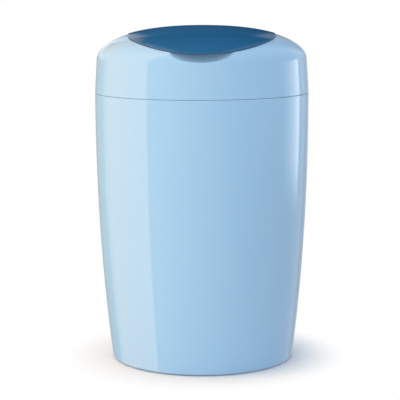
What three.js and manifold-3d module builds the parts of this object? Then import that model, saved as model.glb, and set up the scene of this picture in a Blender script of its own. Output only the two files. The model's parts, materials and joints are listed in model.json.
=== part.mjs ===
// A round nappy bin: a tapered bucket, a ring that holds the bag, a domed lid and a lift-up flap.
// Millimetres, +Z up. The front faces -Y, and the origin is on the floor at the middle of the bin.
import * as THREE from "three";
import { mergeVertices } from "three/addons/utils/BufferGeometryUtils.js";
import Module from "manifold-3d";

const wasm = await Module();
wasm.setup();

// Outer shape. Heights on the lid, the ring and the rim are taken from the seam.
const SEAM_RADIUS = 135; // outside, where the lid meets the body
const BASE_RADIUS = 115.7; // outside, at the foot of the side
const SEAM_HEIGHT = 340; // from the floor to the seam
const SEAM_GAP = 0.4; // the dark line between the lid and the body
const SIDE_POWER = 2.2; // the side stays nearly upright, then draws in towards the base
const SKIRT_HEIGHT = 39; // the straight side of the lid
const SKIRT_DRAFT = 2.3; // how far the skirt leans in over that height
const DOME_HEIGHT = 43.8; // from the skirt to the crown
const DOME_POWER = 2.26; // 2 would be an ellipse, and more is squarer at the shoulder

// Clearances.
const FIT = 0.3; // between pieces that touch
const OVERRUN = 2; // how far a cutter runs past the face that it cuts
const MERGE = 0.001; // points nearer than this are one

// Body.
const BODY_WALL = 2.5;
const FLOOR_WALL = 3;
const BASE_EDGE = 2.5; // radius of the edge under the base
const BAND_MARGIN = 3; // beside the feet, on the flat band under the base that carries them
const RECESS_DEPTH = 3; // the underside inside the band is raised by this
const RIM_HEIGHT = 13; // the stepped-in rim, above the seam
const RIM_CLEARANCE = 1.5; // between the rim and the lid's skirt
const RIM_CHAMFER = 0.8;

// Feet.
const FOOT_RADIUS = 9;
const FOOT_PROUD = 1.6; // what shows below the base
const FOOT_SEAT = 1.6; // what is held in the base's pocket
const FOOT_CHAMFER = 0.6;
const FOOT_ANGLE = 45; // degrees from the X axis

// Bag ring.
const RING_CLEARANCE = 0.8; // between the ring and the inside of the rim
const RING_FLANGE = 1.8; // thickness of the flange on the rim
const RING_WALL = 2.2;
const RING_DEPTH = 20; // from the flange down to the grip lip
const RING_LIP = 5; // width of the grip lip

// Lid shell, and the flap's cover, which continues the dome.
const LID_WALL = 2.5;
const CUT_HEIGHT = 53.5; // lowest point of the border between lid and flap
const CUT_RADIUS = 259; // the border's arc, seen from the front
const TIP_START = 87; // from the middle to where the border turns up, to round off the flap's tips
const TIP_RADIUS = 5.4; // of that turn
const FLAP_GAP = 0.6; // between the flap and the lid, along the border
const FLAP_PROUD = 1.2; // how far the cover stands above the dome
const FLAP_WALL = 2.4;
const HINGE_RELIEF = 1.2; // the lid's border is lower by this at the back, where the flap swings over it

// Finger scoop, a dish in the lid's front shoulder: the foot of a hollow larger than the dish.
const SCOOP_WIDTH = 174.5;
const SCOOP_HEIGHT = 102.1;
const SCOOP_DEPTH = 36; // from its middle to its back
const SCOOP_RISE = 40.9; // its middle lies this far above the border
const SCOOP_FORWARD = 9.3; // and this far in front of it
const SCOOP_WALL = 2.4;

// Collar, the plate under the lid that carries the throat.
const COLLAR_WALL = 2.2;
const COLLAR_CLEARANCE = 0.8; // between the collar and the lid's skirt
const COLLAR_POST_INSET = 12.5; // from the collar's edge to the middle of the lid's posts
const COLLAR_POST_WALL = 3.3; // round the screw
const COLLAR_POST_ANGLE = 42; // degrees from the X axis

// Throat, the tube that a nappy drops through. It is pressed into the collar from above.
const THROAT_WALL = 2.2;
const THROAT_RADIUS = 79; // inside, at the top
const THROAT_TAPER = 7; // how much narrower it is at its foot
const THROAT_DROP = 14; // its foot is this far below the seam
const SEAT_DROP = 7.5; // the flap's seat is this far below the border
const SEAT_WIDTH = 8;
const FLANGE_LIP = 3; // width of the flange that rests on the collar
const BEAD_LIP = 0.8; // width of the bead that snaps in under the collar
const BEAD_HEIGHT = 1.6;

// Seals.
const LID_SEAL_HEIGHT = 3;
const LID_SEAL_WIDTH = 5;
const LID_SEAL_INSET = 0.6; // from the rim's outside
const FLAP_SEAL_HEIGHT = 2.4;
const FLAP_SEAL_WIDTH = 5;
const SEAL_CHAMFER = 0.5;

// Liner, the inner half of the flap.
const LINER_OVERHANG = 1; // how far the liner reaches past the seat
const LINER_WALL = 2;
const LINER_RECESS = 8; // its middle is raised by this above the land that carries the seal
const LINER_LAND = 9; // width of that land
const LINER_POST_INSET = 15; // from the land to the middle of the cover's posts
const LINER_POST_WALL = 2.8; // round the screw
const LINER_POST_ANGLE = 45; // degrees from the X axis

// Screws.
const SCREW_RADIUS = 1.4;
const SCREW_LENGTH = 12;
const SCREW_TIP = 1.6;
const HEAD_LIP = 2; // how far the head reaches past the shank
const HEAD_HEIGHT = 2;
const HEAD_CHAMFER = 0.5;
const SOCKET_RADIUS = 1.2;
const SOCKET_DEPTH = 1.1;

// Hinge, two arms on pins between ears.
const HINGE_DROP = 10; // the axis is this far below the border
const HINGE_CLEARANCE = 1.1; // between the knuckles and the lid's back wall
const KNUCKLE_WALL = 1.9; // round the pin, in the arms
const ARM_OFFSET = 14; // from the middle of the bin to the middle of an arm
const ARM_WIDTH = 8;
const ARM_CLEARANCE = 0.6; // between an arm and the cover above it
const EAR_WALL = 2.7; // round the pin, in the ears
const EAR_WIDTH = 3;
const EAR_GAP = 0.8;
const SLOT_CLEARANCE = 2.3; // between a knuckle and the foot of its slot in the lid
const PIN_RADIUS = 2;
const PIN_HEAD_LIP = 1;
const PIN_HEAD_WIDTH = 1.2;

// Deodoriser: a tablet in a cup of the liner, behind a slotted cap with a bayonet turn.
const CUP_RADIUS = 32;
const TABLET_HEIGHT = 8;
const TABLET_HEADROOM = 4; // between the tablet and the top of the cup
const TABLET_CLEARANCE = 2.1; // between the tablet and the cap's skirt
const TABLET_CHAMFER = 1;
const CAP_OVERLAP = 4; // how far the cap reaches past the cup's mouth
const CAP_WALL = 2;
const CAP_SKIRT_WALL = 1.6;
const CAP_SKIRT_CLEARANCE = 2.3; // between the cap's skirt and the cup, where the ledges and lugs are
const LEDGE_RISE = 1.2; // above the cup's mouth
const LEDGE_HEIGHT = 1.8;
const LUG_HEIGHT = 1.8;
const LUG_CLEARANCE = 0.4; // between a lug and the cup, and between a ledge and the skirt
const LEDGE_HALF_ANGLE = 32; // degrees
const LUG_HALF_ANGLE = 20; // degrees
const LUG_ANGLES = [0, 180]; // degrees from the X axis, for the lugs and the ledges
const GRIP_LENGTH = 44;
const GRIP_WIDTH = 4;
const GRIP_HEIGHT = 4;
const CAP_SLOT_COUNT = 6;
const CAP_SLOT_WIDTH = 3.6;
const CAP_SLOT_INNER = 8; // radius at which the slots start
const CAP_SLOT_INSET = 4; // from their outer ends to the tablet's edge

// How finely round shapes are cut.
const SHELL_SEGMENTS = 56;
const SCOOP_SEGMENTS = 128;
const INNER_SEGMENTS = 40;
const SMALL_SEGMENTS = 16;
const PIN_SEGMENTS = 10;
const SIDE_STEPS = 6;
const EDGE_STEPS = 3;
const DOME_STEPS = 9;
const BORDER_STEPS = 14;
const TIP_STEPS = 5;
const FULL_TURN = 360; // degrees

// Colours and finishes.
const LIGHT_BLUE = "#a9cce8";
const DARK_BLUE = "#245f8e";
const PALE = "#e3ecf3";
const RUBBER = "#3d4348";
const SEAL_GREY = "#7f8a92";
const STEEL = "#b9bdc1";
const TABLET_WHITE = "#f3f1e6";

// Places that follow from the sizes above.
const bandWidth = 2 * (FOOT_RADIUS + BAND_MARGIN);
const footHeight = FOOT_PROUD + FOOT_SEAT;
const footCircle = BASE_RADIUS - BASE_EDGE - bandWidth / 2;
const rimRadius = SEAM_RADIUS - LID_WALL - RIM_CLEARANCE;
const rimInside = rimRadius - BODY_WALL;
const ringBottom = RIM_HEIGHT + FIT;
const lidSealBottom = ringBottom + RING_FLANGE + FIT;
const collarBottom = lidSealBottom + LID_SEAL_HEIGHT + FIT;
const collarTop = collarBottom + COLLAR_WALL;
const collarRadius = skirtRadius(collarTop) - LID_WALL - COLLAR_CLEARANCE;
const collarPostCircle = collarRadius - COLLAR_POST_INSET;
const screwHole = SCREW_RADIUS + FIT;
const throatOutside = THROAT_RADIUS + THROAT_WALL;
const seatHeight = CUT_HEIGHT - SEAT_DROP;
const flapSealBottom = seatHeight + FIT;
const linerBottom = flapSealBottom + FLAP_SEAL_HEIGHT + FIT;
const linerMiddle = linerBottom + LINER_RECESS;
const linerFloor = linerMiddle + LINER_WALL;
const linerRadius = THROAT_RADIUS + SEAT_WIDTH + LINER_OVERHANG;
const landInside = linerRadius - LINER_LAND - LINER_WALL;
const linerPostCircle = landInside - LINER_POST_INSET;
const capSkirt = CUP_RADIUS - CAP_SKIRT_CLEARANCE;
const tabletRadius = capSkirt - CAP_SKIRT_WALL - TABLET_CLEARANCE;
const coverInside = FLAP_PROUD - FLAP_WALL;
const armReach = ARM_OFFSET + ARM_WIDTH / 2;
const pinHole = PIN_RADIUS + FIT;
const knuckleRadius = pinHole + KNUCKLE_WALL;
const earRadius = pinHole + EAR_WALL;
const hingeHeight = CUT_HEIGHT - HINGE_DROP;
const hingeBack = Math.sqrt(domeRadius(hingeHeight, -LID_WALL) ** 2 - armReach ** 2)
  - knuckleRadius - HINGE_CLEARANCE;

// Height above the seam of the dome's surface, moved out by an offset, at a radius.
function domeHeight(radius, offset) {
  const share = (radius / (SEAM_RADIUS - SKIRT_DRAFT + offset)) ** DOME_POWER;
  return SKIRT_HEIGHT + (DOME_HEIGHT + offset) * (1 - share) ** (1 / DOME_POWER);
}

// Radius of the dome's surface, moved out by an offset, at a height above the seam.
function domeRadius(height, offset) {
  const share = ((height - SKIRT_HEIGHT) / (DOME_HEIGHT + offset)) ** DOME_POWER;
  return (SEAM_RADIUS - SKIRT_DRAFT + offset) * (1 - share) ** (1 / DOME_POWER);
}

// Outside radius of the lid's skirt at a height above the seam.
function skirtRadius(height) {
  return SEAM_RADIUS - SKIRT_DRAFT * height / SKIRT_HEIGHT;
}

// Outside radius of the body at a depth below the seam.
function sideRadius(depth) {
  return SEAM_RADIUS - (SEAM_RADIUS - BASE_RADIUS) * (depth / SEAM_HEIGHT) ** SIDE_POWER;
}

// A closed geometry as a solid.
function solid(geometry) {
  const bare = geometry.clone();
  bare.deleteAttribute("normal");
  bare.deleteAttribute("uv");
  const merged = mergeVertices(bare, MERGE);
  const triVerts = new Uint32Array(merged.index.array);
  const vertProperties = merged.attributes.position.array;
  return new wasm.Manifold(new wasm.Mesh({ numProp: 3, vertProperties, triVerts }));
}

// Solids joined into one.
function joined(solids) {
  return solids.reduce((all, one) => all.add(one));
}

// A solid turned about Z. The outline lists [radius, height], bottom first, then up the outside.
// It starts and ends on the axis, or else it is closed into a ring.
function turned(outline, segments) {
  const points = outline.map(([radius, height]) => new THREE.Vector2(radius, height));
  if (outline[0][0] > 0) points.push(points[0]);
  return solid(new THREE.LatheGeometry(points, segments).rotateX(Math.PI / 2));
}

// An upright round bar.
function bar(radius, bottom, top, segments, x = 0, y = 0) {
  return turned([[0, bottom], [radius, bottom], [radius, top], [0, top]], segments).translate([x, y, 0]);
}

// A round bar along X.
function crossBar(radius, left, right, y, z) {
  return bar(radius, left, right, PIN_SEGMENTS).rotate([0, 90, 0]).translate([0, y, z]);
}

function box(left, right, front, back, bottom, top) {
  const geometry = new THREE.BoxGeometry(right - left, back - front, top - bottom);
  geometry.translate((left + right) / 2, (front + back) / 2, (bottom + top) / 2);
  return solid(geometry);
}

// A plate square to X. The outline lists [y, z].
function plate(outline, left, right) {
  const shape = new THREE.Shape(outline.map(([y, z]) => new THREE.Vector2(y, z)));
  const geometry = new THREE.ExtrudeGeometry(shape, { depth: right - left, bevelEnabled: false });
  const turn = new THREE.Matrix4().makeBasis(
    new THREE.Vector3(0, 1, 0), new THREE.Vector3(0, 0, 1), new THREE.Vector3(1, 0, 0));
  return solid(geometry.applyMatrix4(turn).translate(left, 0, 0));
}

// A block between two radii and two angles, for ledges and lugs.
function arcBlock(inner, outer, middle, halfAngle, bottom, top) {
  const from = THREE.MathUtils.degToRad(middle - halfAngle);
  const to = THREE.MathUtils.degToRad(middle + halfAngle);
  const shape = new THREE.Shape();
  shape.absarc(0, 0, outer, from, to, false);
  shape.absarc(0, 0, inner, to, from, true);
  const options = { depth: top - bottom, bevelEnabled: false, curveSegments: EDGE_STEPS };
  return solid(new THREE.ExtrudeGeometry(shape, options).translate(0, 0, bottom));
}

// Places round a circle, one in each quarter, at an angle from the X axis.
function quarterPlaces(radius, degrees) {
  const angle = THREE.MathUtils.degToRad(degrees);
  const x = radius * Math.cos(angle);
  const y = radius * Math.sin(angle);
  return [[x, y], [-x, y], [-x, -y], [x, -y]];
}

// Points of the dome's outline from the skirt's top to the crown.
function domePoints(offset) {
  const radius = SEAM_RADIUS - SKIRT_DRAFT + offset;
  const points = [];
  for (let step = 0; step <= DOME_STEPS; step++) {
    const angle = Math.PI / 2 * step / DOME_STEPS;
    const out = step < DOME_STEPS ? Math.cos(angle) ** (2 / DOME_POWER) : 0;
    const up = Math.sin(angle) ** (2 / DOME_POWER);
    points.push([radius * out, SKIRT_HEIGHT + (DOME_HEIGHT + offset) * up]);
  }
  return points;
}

// The space under the dome, moved out by an offset, down to a height.
function domeSolid(offset, bottom) {
  return turned([[0, bottom], [skirtRadius(bottom) + offset, bottom], ...domePoints(offset)], SHELL_SEGMENTS);
}

// The right half of the border between lid and flap, seen from the front, from the middle to its tip.
function borderPoints() {
  const places = [];
  for (let step = 0; step < BORDER_STEPS; step++) places.push(TIP_START * step / BORDER_STEPS);
  for (let step = 0; step <= TIP_STEPS; step++) places.push(TIP_START + 2 * TIP_RADIUS * step / TIP_STEPS);
  return places.map((x) => {
    const turn = Math.max(x - TIP_START, 0) ** 2 / (2 * TIP_RADIUS);
    return [x, CUT_HEIGHT + CUT_RADIUS - Math.sqrt(CUT_RADIUS ** 2 - x ** 2) + turn];
  });
}

// The space above the border, raised by a shift.
function aboveBorder(shift, front, back) {
  const right = borderPoints();
  const left = right.slice(1).map(([x, z]) => [-x, z]).reverse();
  const shape = new THREE.Shape([...left, ...right].map(([x, z]) => new THREE.Vector2(x, z + shift)));
  const height = CUT_HEIGHT + CUT_RADIUS;
  shape.lineTo(TIP_START + 2 * TIP_RADIUS, height);
  shape.lineTo(-TIP_START - 2 * TIP_RADIUS, height);
  const geometry = new THREE.ExtrudeGeometry(shape, { depth: back - front, bevelEnabled: false });
  return solid(geometry.rotateX(Math.PI / 2).translate(0, back, 0));
}

// The finger scoop's hollow, made larger by an offset.
function scoopHollow(offset) {
  const geometry = new THREE.SphereGeometry(1, SCOOP_SEGMENTS, SCOOP_SEGMENTS);
  geometry.scale(SCOOP_WIDTH / 2 + offset, SCOOP_DEPTH + offset, SCOOP_HEIGHT / 2 + offset);
  const middle = CUT_HEIGHT + SCOOP_RISE;
  return solid(geometry.translate(0, -domeRadius(CUT_HEIGHT, 0) - SCOOP_FORWARD, middle));
}

// Side of the body from one depth to another, moved in by a wall.
function sidePoints(from, to, wall) {
  const points = [];
  for (let step = 0; step <= SIDE_STEPS; step++) {
    const depth = from + (to - from) * step / SIDE_STEPS;
    points.push([sideRadius(depth) - wall, SEAM_HEIGHT - depth]);
  }
  return points;
}

// A rounded edge from straight down to straight in, about a centre.
function edgePoints(radius, centreRadius, centreHeight) {
  const points = [];
  for (let step = 0; step < EDGE_STEPS; step++) {
    const angle = Math.PI / 2 * step / EDGE_STEPS;
    points.push([centreRadius + radius * Math.sin(angle), centreHeight - radius * Math.cos(angle)]);
  }
  return points;
}

function binBody() {
  const bandInside = BASE_RADIUS - BASE_EDGE - bandWidth;
  const recessInside = bandInside - RECESS_DEPTH;
  const edgeHeight = FOOT_PROUD + BASE_EDGE;
  const shoulder = SEAM_HEIGHT - SEAM_GAP / 2;
  const rimTop = SEAM_HEIGHT + RIM_HEIGHT;
  const floorTop = FOOT_PROUD + FLOOR_WALL;
  const innerEdge = SEAM_HEIGHT - floorTop - BASE_EDGE;
  const outline = [
    [0, FOOT_PROUD + RECESS_DEPTH],
    [recessInside, FOOT_PROUD + RECESS_DEPTH],
    [bandInside, FOOT_PROUD],
    ...edgePoints(BASE_EDGE, sideRadius(SEAM_HEIGHT - edgeHeight) - BASE_EDGE, edgeHeight),
    ...sidePoints(SEAM_GAP / 2, SEAM_HEIGHT - edgeHeight, 0).reverse(),
    [rimRadius, shoulder],
    [rimRadius, rimTop - RIM_CHAMFER],
    [rimRadius - RIM_CHAMFER, rimTop],
    [rimInside, rimTop],
    [rimInside, shoulder - BODY_WALL],
    ...sidePoints(SEAM_GAP / 2 + 2 * BODY_WALL, innerEdge, BODY_WALL),
    ...edgePoints(BASE_EDGE, sideRadius(innerEdge) - BODY_WALL - BASE_EDGE, floorTop + BASE_EDGE).reverse(),
    [bandInside, floorTop],
    [recessInside, floorTop + RECESS_DEPTH],
    [0, floorTop + RECESS_DEPTH],
  ];
  const pockets = quarterPlaces(footCircle, FOOT_ANGLE).map(([x, y]) =>
    bar(FOOT_RADIUS + FIT, FOOT_PROUD - OVERRUN, footHeight + FIT, SMALL_SEGMENTS, x, y));
  return turned(outline, SHELL_SEGMENTS).subtract(joined(pockets));
}

function foot() {
  return turned([
    [0, 0],
    [FOOT_RADIUS - FOOT_CHAMFER, 0],
    [FOOT_RADIUS, FOOT_CHAMFER],
    [FOOT_RADIUS, footHeight],
    [0, footHeight],
  ], SMALL_SEGMENTS);
}

function bagRing() {
  const outside = rimInside - RING_CLEARANCE;
  const inside = outside - RING_WALL;
  const top = ringBottom + RING_FLANGE;
  const bottom = top - RING_DEPTH;
  return turned([
    [inside - RING_LIP, bottom],
    [outside, bottom],
    [outside, ringBottom],
    [rimRadius, ringBottom],
    [rimRadius, top],
    [inside, top],
    [inside, bottom + RING_WALL],
    [inside - RING_LIP, bottom + RING_WALL],
  ], INNER_SEGMENTS);
}

function lidShell() {
  const bottom = SEAM_GAP / 2;
  const outer = domeSolid(0, bottom);
  const hollow = domeSolid(-LID_WALL, bottom - OVERRUN);
  const middle = domeSolid(-LID_WALL / 2, bottom);
  const inside = [scoopHollow(SCOOP_WALL), ...lidPosts(), ...hingeEars()];
  const walls = outer.subtract(hollow).add(joined(inside).intersect(middle));
  const reach = SEAM_RADIUS + OVERRUN;
  const opening = aboveBorder(-FLAP_GAP / 2, -reach, reach);
  const relief = aboveBorder(-FLAP_GAP / 2 - HINGE_RELIEF, linerRadius, reach);
  const cuts = [scoopHollow(0), opening, relief, ...armSlots(), ...lidPostHoles(), earHoles()];
  return walls.subtract(joined(cuts));
}

function lidPosts() {
  const top = SKIRT_HEIGHT + DOME_HEIGHT;
  return quarterPlaces(collarPostCircle, COLLAR_POST_ANGLE).map(([x, y]) =>
    bar(screwHole + COLLAR_POST_WALL, collarTop + FIT, top, SMALL_SEGMENTS, x, y));
}

function lidPostHoles() {
  return quarterPlaces(collarPostCircle, COLLAR_POST_ANGLE).map(([x, y]) =>
    bar(screwHole, collarTop, collarTop + SCREW_LENGTH + OVERRUN, PIN_SEGMENTS, x, y));
}

// Left and right sides of the two ears beside the arm on the right.
function earSides() {
  const nearArm = ARM_WIDTH / 2 + EAR_GAP;
  return [
    [ARM_OFFSET - nearArm - EAR_WIDTH, ARM_OFFSET - nearArm],
    [ARM_OFFSET + nearArm, ARM_OFFSET + nearArm + EAR_WIDTH],
  ];
}

function hingeEars() {
  const outline = [[SEAM_RADIUS, hingeHeight - earRadius], [SEAM_RADIUS, hingeHeight + earRadius]];
  for (let step = 0; step <= PIN_SEGMENTS; step++) {
    const angle = Math.PI * (1 / 2 + step / PIN_SEGMENTS);
    outline.push([hingeBack + earRadius * Math.cos(angle), hingeHeight + earRadius * Math.sin(angle)]);
  }
  return earSides().flatMap(([left, right]) => [plate(outline, left, right), plate(outline, -right, -left)]);
}

function earHoles() {
  const reach = armReach + EAR_GAP + EAR_WIDTH + OVERRUN;
  return crossBar(pinHole, -reach, reach, hingeBack, hingeHeight);
}

function armSlots() {
  const half = ARM_WIDTH / 2 + EAR_GAP;
  const bottom = hingeHeight - knuckleRadius - SLOT_CLEARANCE;
  return [-ARM_OFFSET, ARM_OFFSET].map((x) =>
    box(x - half, x + half, hingeBack, SEAM_RADIUS + OVERRUN, bottom, CUT_HEIGHT + OVERRUN));
}

// The tube from the flap's seat down into the bag, narrower towards its foot.
function throat() {
  const narrow = THROAT_RADIUS - THROAT_TAPER;
  const beadTop = collarBottom - FIT;
  const flangeBottom = collarTop + FIT;
  return turned([
    [narrow, -THROAT_DROP],
    [narrow + THROAT_WALL, -THROAT_DROP],
    [throatOutside, beadTop - BEAD_HEIGHT],
    [throatOutside + BEAD_LIP, beadTop],
    [throatOutside, beadTop],
    [throatOutside, flangeBottom],
    [throatOutside + FLANGE_LIP, flangeBottom],
    [throatOutside + FLANGE_LIP, flangeBottom + THROAT_WALL],
    [throatOutside, flangeBottom + THROAT_WALL],
    [throatOutside, seatHeight - THROAT_WALL],
    [THROAT_RADIUS + SEAT_WIDTH, seatHeight - THROAT_WALL],
    [THROAT_RADIUS + SEAT_WIDTH, seatHeight],
    [THROAT_RADIUS, seatHeight],
    [THROAT_RADIUS, beadTop - BEAD_HEIGHT],
  ], INNER_SEGMENTS);
}

function lidCollar() {
  const profile = turned([
    [throatOutside + FIT, collarBottom],
    [collarRadius, collarBottom],
    [collarRadius, collarTop],
    [throatOutside + FIT, collarTop],
  ], INNER_SEGMENTS);
  const holes = quarterPlaces(collarPostCircle, COLLAR_POST_ANGLE).map(([x, y]) =>
    bar(screwHole, collarBottom - OVERRUN, collarTop + OVERRUN, PIN_SEGMENTS, x, y));
  return profile.subtract(joined(holes));
}

// A flat ring with its outer corners taken off.
function sealRing(inside, outside, bottom, height) {
  const top = bottom + height;
  return turned([
    [inside, bottom],
    [outside - SEAL_CHAMFER, bottom],
    [outside, bottom + SEAL_CHAMFER],
    [outside, top - SEAL_CHAMFER],
    [outside - SEAL_CHAMFER, top],
    [inside, top],
  ], INNER_SEGMENTS);
}

function lidSeal() {
  const outside = rimRadius - LID_SEAL_INSET;
  return sealRing(outside - LID_SEAL_WIDTH, outside, lidSealBottom, LID_SEAL_HEIGHT);
}

function flapSeal() {
  const inside = THROAT_RADIUS + (SEAT_WIDTH - FLAP_SEAL_WIDTH) / 2;
  return sealRing(inside, inside + FLAP_SEAL_WIDTH, flapSealBottom, FLAP_SEAL_HEIGHT);
}

// A screw with its head's underside at zero, pointing up.
function screw() {
  const head = SCREW_RADIUS + HEAD_LIP;
  return turned([
    [0, SOCKET_DEPTH - HEAD_HEIGHT],
    [SOCKET_RADIUS, SOCKET_DEPTH - HEAD_HEIGHT],
    [SOCKET_RADIUS, -HEAD_HEIGHT],
    [head - HEAD_CHAMFER, -HEAD_HEIGHT],
    [head, HEAD_CHAMFER - HEAD_HEIGHT],
    [head, 0],
    [SCREW_RADIUS, 0],
    [SCREW_RADIUS, SCREW_LENGTH - SCREW_TIP],
    [0, SCREW_LENGTH],
  ], PIN_SEGMENTS);
}

function flapCover() {
  const bottom = SKIRT_HEIGHT / 2;
  const reach = SEAM_RADIUS + OVERRUN;
  const shell = domeSolid(FLAP_PROUD, bottom).subtract(domeSolid(coverInside, bottom - OVERRUN));
  const cap = shell.intersect(aboveBorder(FLAP_GAP / 2, -reach, reach));
  const posts = joined(quarterPlaces(linerPostCircle, LINER_POST_ANGLE).map(([x, y]) =>
    bar(screwHole + LINER_POST_WALL, linerFloor + FIT, SKIRT_HEIGHT + DOME_HEIGHT, SMALL_SEGMENTS, x, y)));
  const holes = joined(quarterPlaces(linerPostCircle, LINER_POST_ANGLE).map(([x, y]) =>
    bar(screwHole, linerFloor, linerFloor + SCREW_LENGTH + OVERRUN, PIN_SEGMENTS, x, y)));
  return cap.add(posts.intersect(domeSolid(coverInside / 2, bottom))).subtract(holes);
}

function flapLiner() {
  const wallTop = domeHeight(linerRadius, coverInside) - FIT;
  const inside = linerRadius - LINER_WALL;
  const cupTop = linerMiddle + TABLET_HEIGHT + TABLET_HEADROOM;
  const tray = turned([
    [0, cupTop],
    [CUP_RADIUS, cupTop],
    [CUP_RADIUS, linerMiddle],
    [landInside, linerMiddle],
    [landInside, linerBottom],
    [linerRadius, linerBottom],
    [linerRadius, wallTop],
    [inside, wallTop],
    [inside, linerBottom + LINER_WALL],
    [landInside + LINER_WALL, linerBottom + LINER_WALL],
    [landInside + LINER_WALL, linerFloor],
    [CUP_RADIUS + LINER_WALL, linerFloor],
    [CUP_RADIUS + LINER_WALL, cupTop + LINER_WALL],
    [0, cupTop + LINER_WALL],
  ], INNER_SEGMENTS);
  const ledgeBottom = linerMiddle + LEDGE_RISE;
  const ledges = LUG_ANGLES.map((middle) =>
    arcBlock(capSkirt + LUG_CLEARANCE, CUP_RADIUS + LINER_WALL / 2, middle,
      LEDGE_HALF_ANGLE, ledgeBottom, ledgeBottom + LEDGE_HEIGHT));
  const holes = quarterPlaces(linerPostCircle, LINER_POST_ANGLE).map(([x, y]) =>
    bar(screwHole, linerMiddle - OVERRUN, linerFloor + OVERRUN, PIN_SEGMENTS, x, y));
  return joined([tray, ...ledges, ...linerArms()]).subtract(joined([...holes, earHoles()]));
}

// The two arms from the tray's back wall to the hinge, close under the cover.
function linerArms() {
  const start = Math.sqrt((linerRadius - LINER_WALL / 2) ** 2 - armReach ** 2);
  const outline = [[start, linerBottom], [hingeBack, hingeHeight - knuckleRadius]];
  for (let step = 1; step <= EDGE_STEPS; step++) {
    const angle = Math.PI / 2 * (step / EDGE_STEPS - 1);
    const y = hingeBack + knuckleRadius * Math.cos(angle);
    outline.push([y, hingeHeight + knuckleRadius * Math.sin(angle)]);
  }
  for (let step = 0; step <= EDGE_STEPS; step++) {
    const y = hingeBack + (start - hingeBack) * step / EDGE_STEPS;
    outline.push([y, domeHeight(Math.hypot(y, armReach), coverInside) - ARM_CLEARANCE]);
  }
  return [-ARM_OFFSET, ARM_OFFSET].map((x) => plate(outline, x - ARM_WIDTH / 2, x + ARM_WIDTH / 2));
}

// The pin on the right. Its head is on the outer side.
function hingePin() {
  const [[left], [, right]] = earSides();
  const head = right + FIT;
  const shaft = crossBar(PIN_RADIUS, left, head + PIN_HEAD_WIDTH, hingeBack, hingeHeight);
  return shaft.add(crossBar(PIN_RADIUS + PIN_HEAD_LIP, head, head + PIN_HEAD_WIDTH, hingeBack, hingeHeight));
}

function scentDisc() {
  const top = linerMiddle + TABLET_HEIGHT;
  return turned([
    [0, linerMiddle],
    [tabletRadius - TABLET_CHAMFER, linerMiddle],
    [tabletRadius, linerMiddle + TABLET_CHAMFER],
    [tabletRadius, top - TABLET_CHAMFER],
    [tabletRadius - TABLET_CHAMFER, top],
    [0, top],
  ], INNER_SEGMENTS / 2);
}

function scentCap() {
  const top = linerMiddle - FIT;
  const bottom = top - CAP_WALL;
  const lugBottom = linerMiddle + LEDGE_RISE + LEDGE_HEIGHT + FIT;
  const skirtTop = lugBottom + LUG_HEIGHT;
  const dish = turned([
    [0, bottom],
    [CUP_RADIUS + CAP_OVERLAP, bottom],
    [CUP_RADIUS + CAP_OVERLAP, top],
    [capSkirt, top],
    [capSkirt, skirtTop],
    [capSkirt - CAP_SKIRT_WALL, skirtTop],
    [capSkirt - CAP_SKIRT_WALL, top],
    [0, top],
  ], INNER_SEGMENTS);
  const lugs = LUG_ANGLES.map((middle) =>
    arcBlock(capSkirt - CAP_SKIRT_WALL / 2, CUP_RADIUS - LUG_CLEARANCE, middle,
      LUG_HALF_ANGLE, lugBottom, skirtTop));
  const grip = box(-GRIP_LENGTH / 2, GRIP_LENGTH / 2, -GRIP_WIDTH / 2, GRIP_WIDTH / 2,
    bottom - GRIP_HEIGHT, bottom + CAP_WALL / 2);
  return joined([dish, ...lugs, grip]).subtract(joined(capSlots(bottom, top)));
}

// Slots that let the scent out, between the ends of the grip.
function capSlots(bottom, top) {
  const slots = [];
  for (let index = 0; index < CAP_SLOT_COUNT; index++) {
    const turn = FULL_TURN * (index + 1 / 2) / CAP_SLOT_COUNT;
    slots.push(box(CAP_SLOT_INNER, tabletRadius - CAP_SLOT_INSET, -CAP_SLOT_WIDTH / 2, CAP_SLOT_WIDTH / 2,
      bottom - OVERRUN, top + OVERRUN).rotate([0, 0, turn]));
  }
  return slots;
}

// A named mesh with a finish of its own.
function piece(name, made, color, roughness, metalness = 0) {
  const raw = made.getMesh();
  const geometry = new THREE.BufferGeometry();
  geometry.setAttribute("position", new THREE.BufferAttribute(raw.vertProperties, 3));
  geometry.setIndex(new THREE.BufferAttribute(raw.triVerts, 1));
  geometry.computeVertexNormals();
  const mesh = new THREE.Mesh(geometry, new THREE.MeshStandardMaterial({ color, roughness, metalness }));
  mesh.name = name;
  return mesh;
}

// Copies of a screw at four places, with their heads against the face at a height.
function addScrews(group, prefix, places, height) {
  places.forEach(([x, y], index) => {
    const mesh = piece(`${prefix}_${index + 1}`, screw(), STEEL, 0.35, 1);
    mesh.position.set(x, y, height - FIT);
    group.add(mesh);
  });
}

const bin = new THREE.Group();
bin.add(piece("bin_body", binBody(), LIGHT_BLUE, 0.25));
quarterPlaces(footCircle, FOOT_ANGLE).forEach(([x, y], index) => {
  const mesh = piece(`foot_${index + 1}`, foot(), RUBBER, 0.9);
  mesh.position.set(x, y, 0);
  bin.add(mesh);
});

const ring = new THREE.Group();
ring.position.z = SEAM_HEIGHT;
ring.add(piece("bag_ring", bagRing(), PALE, 0.4));

const lid = new THREE.Group();
lid.position.z = SEAM_HEIGHT;
lid.add(piece("lid_shell", lidShell(), LIGHT_BLUE, 0.25));
lid.add(piece("lid_collar", lidCollar(), PALE, 0.4));
lid.add(piece("throat", throat(), PALE, 0.4));
lid.add(piece("lid_seal", lidSeal(), SEAL_GREY, 0.8));
addScrews(lid, "collar_screw", quarterPlaces(collarPostCircle, COLLAR_POST_ANGLE), collarBottom);
[1, -1].forEach((side, index) => {
  const mesh = piece(`hinge_pin_${index + 1}`, hingePin(), STEEL, 0.3, 1);
  mesh.scale.x = side;
  lid.add(mesh);
});

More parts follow.
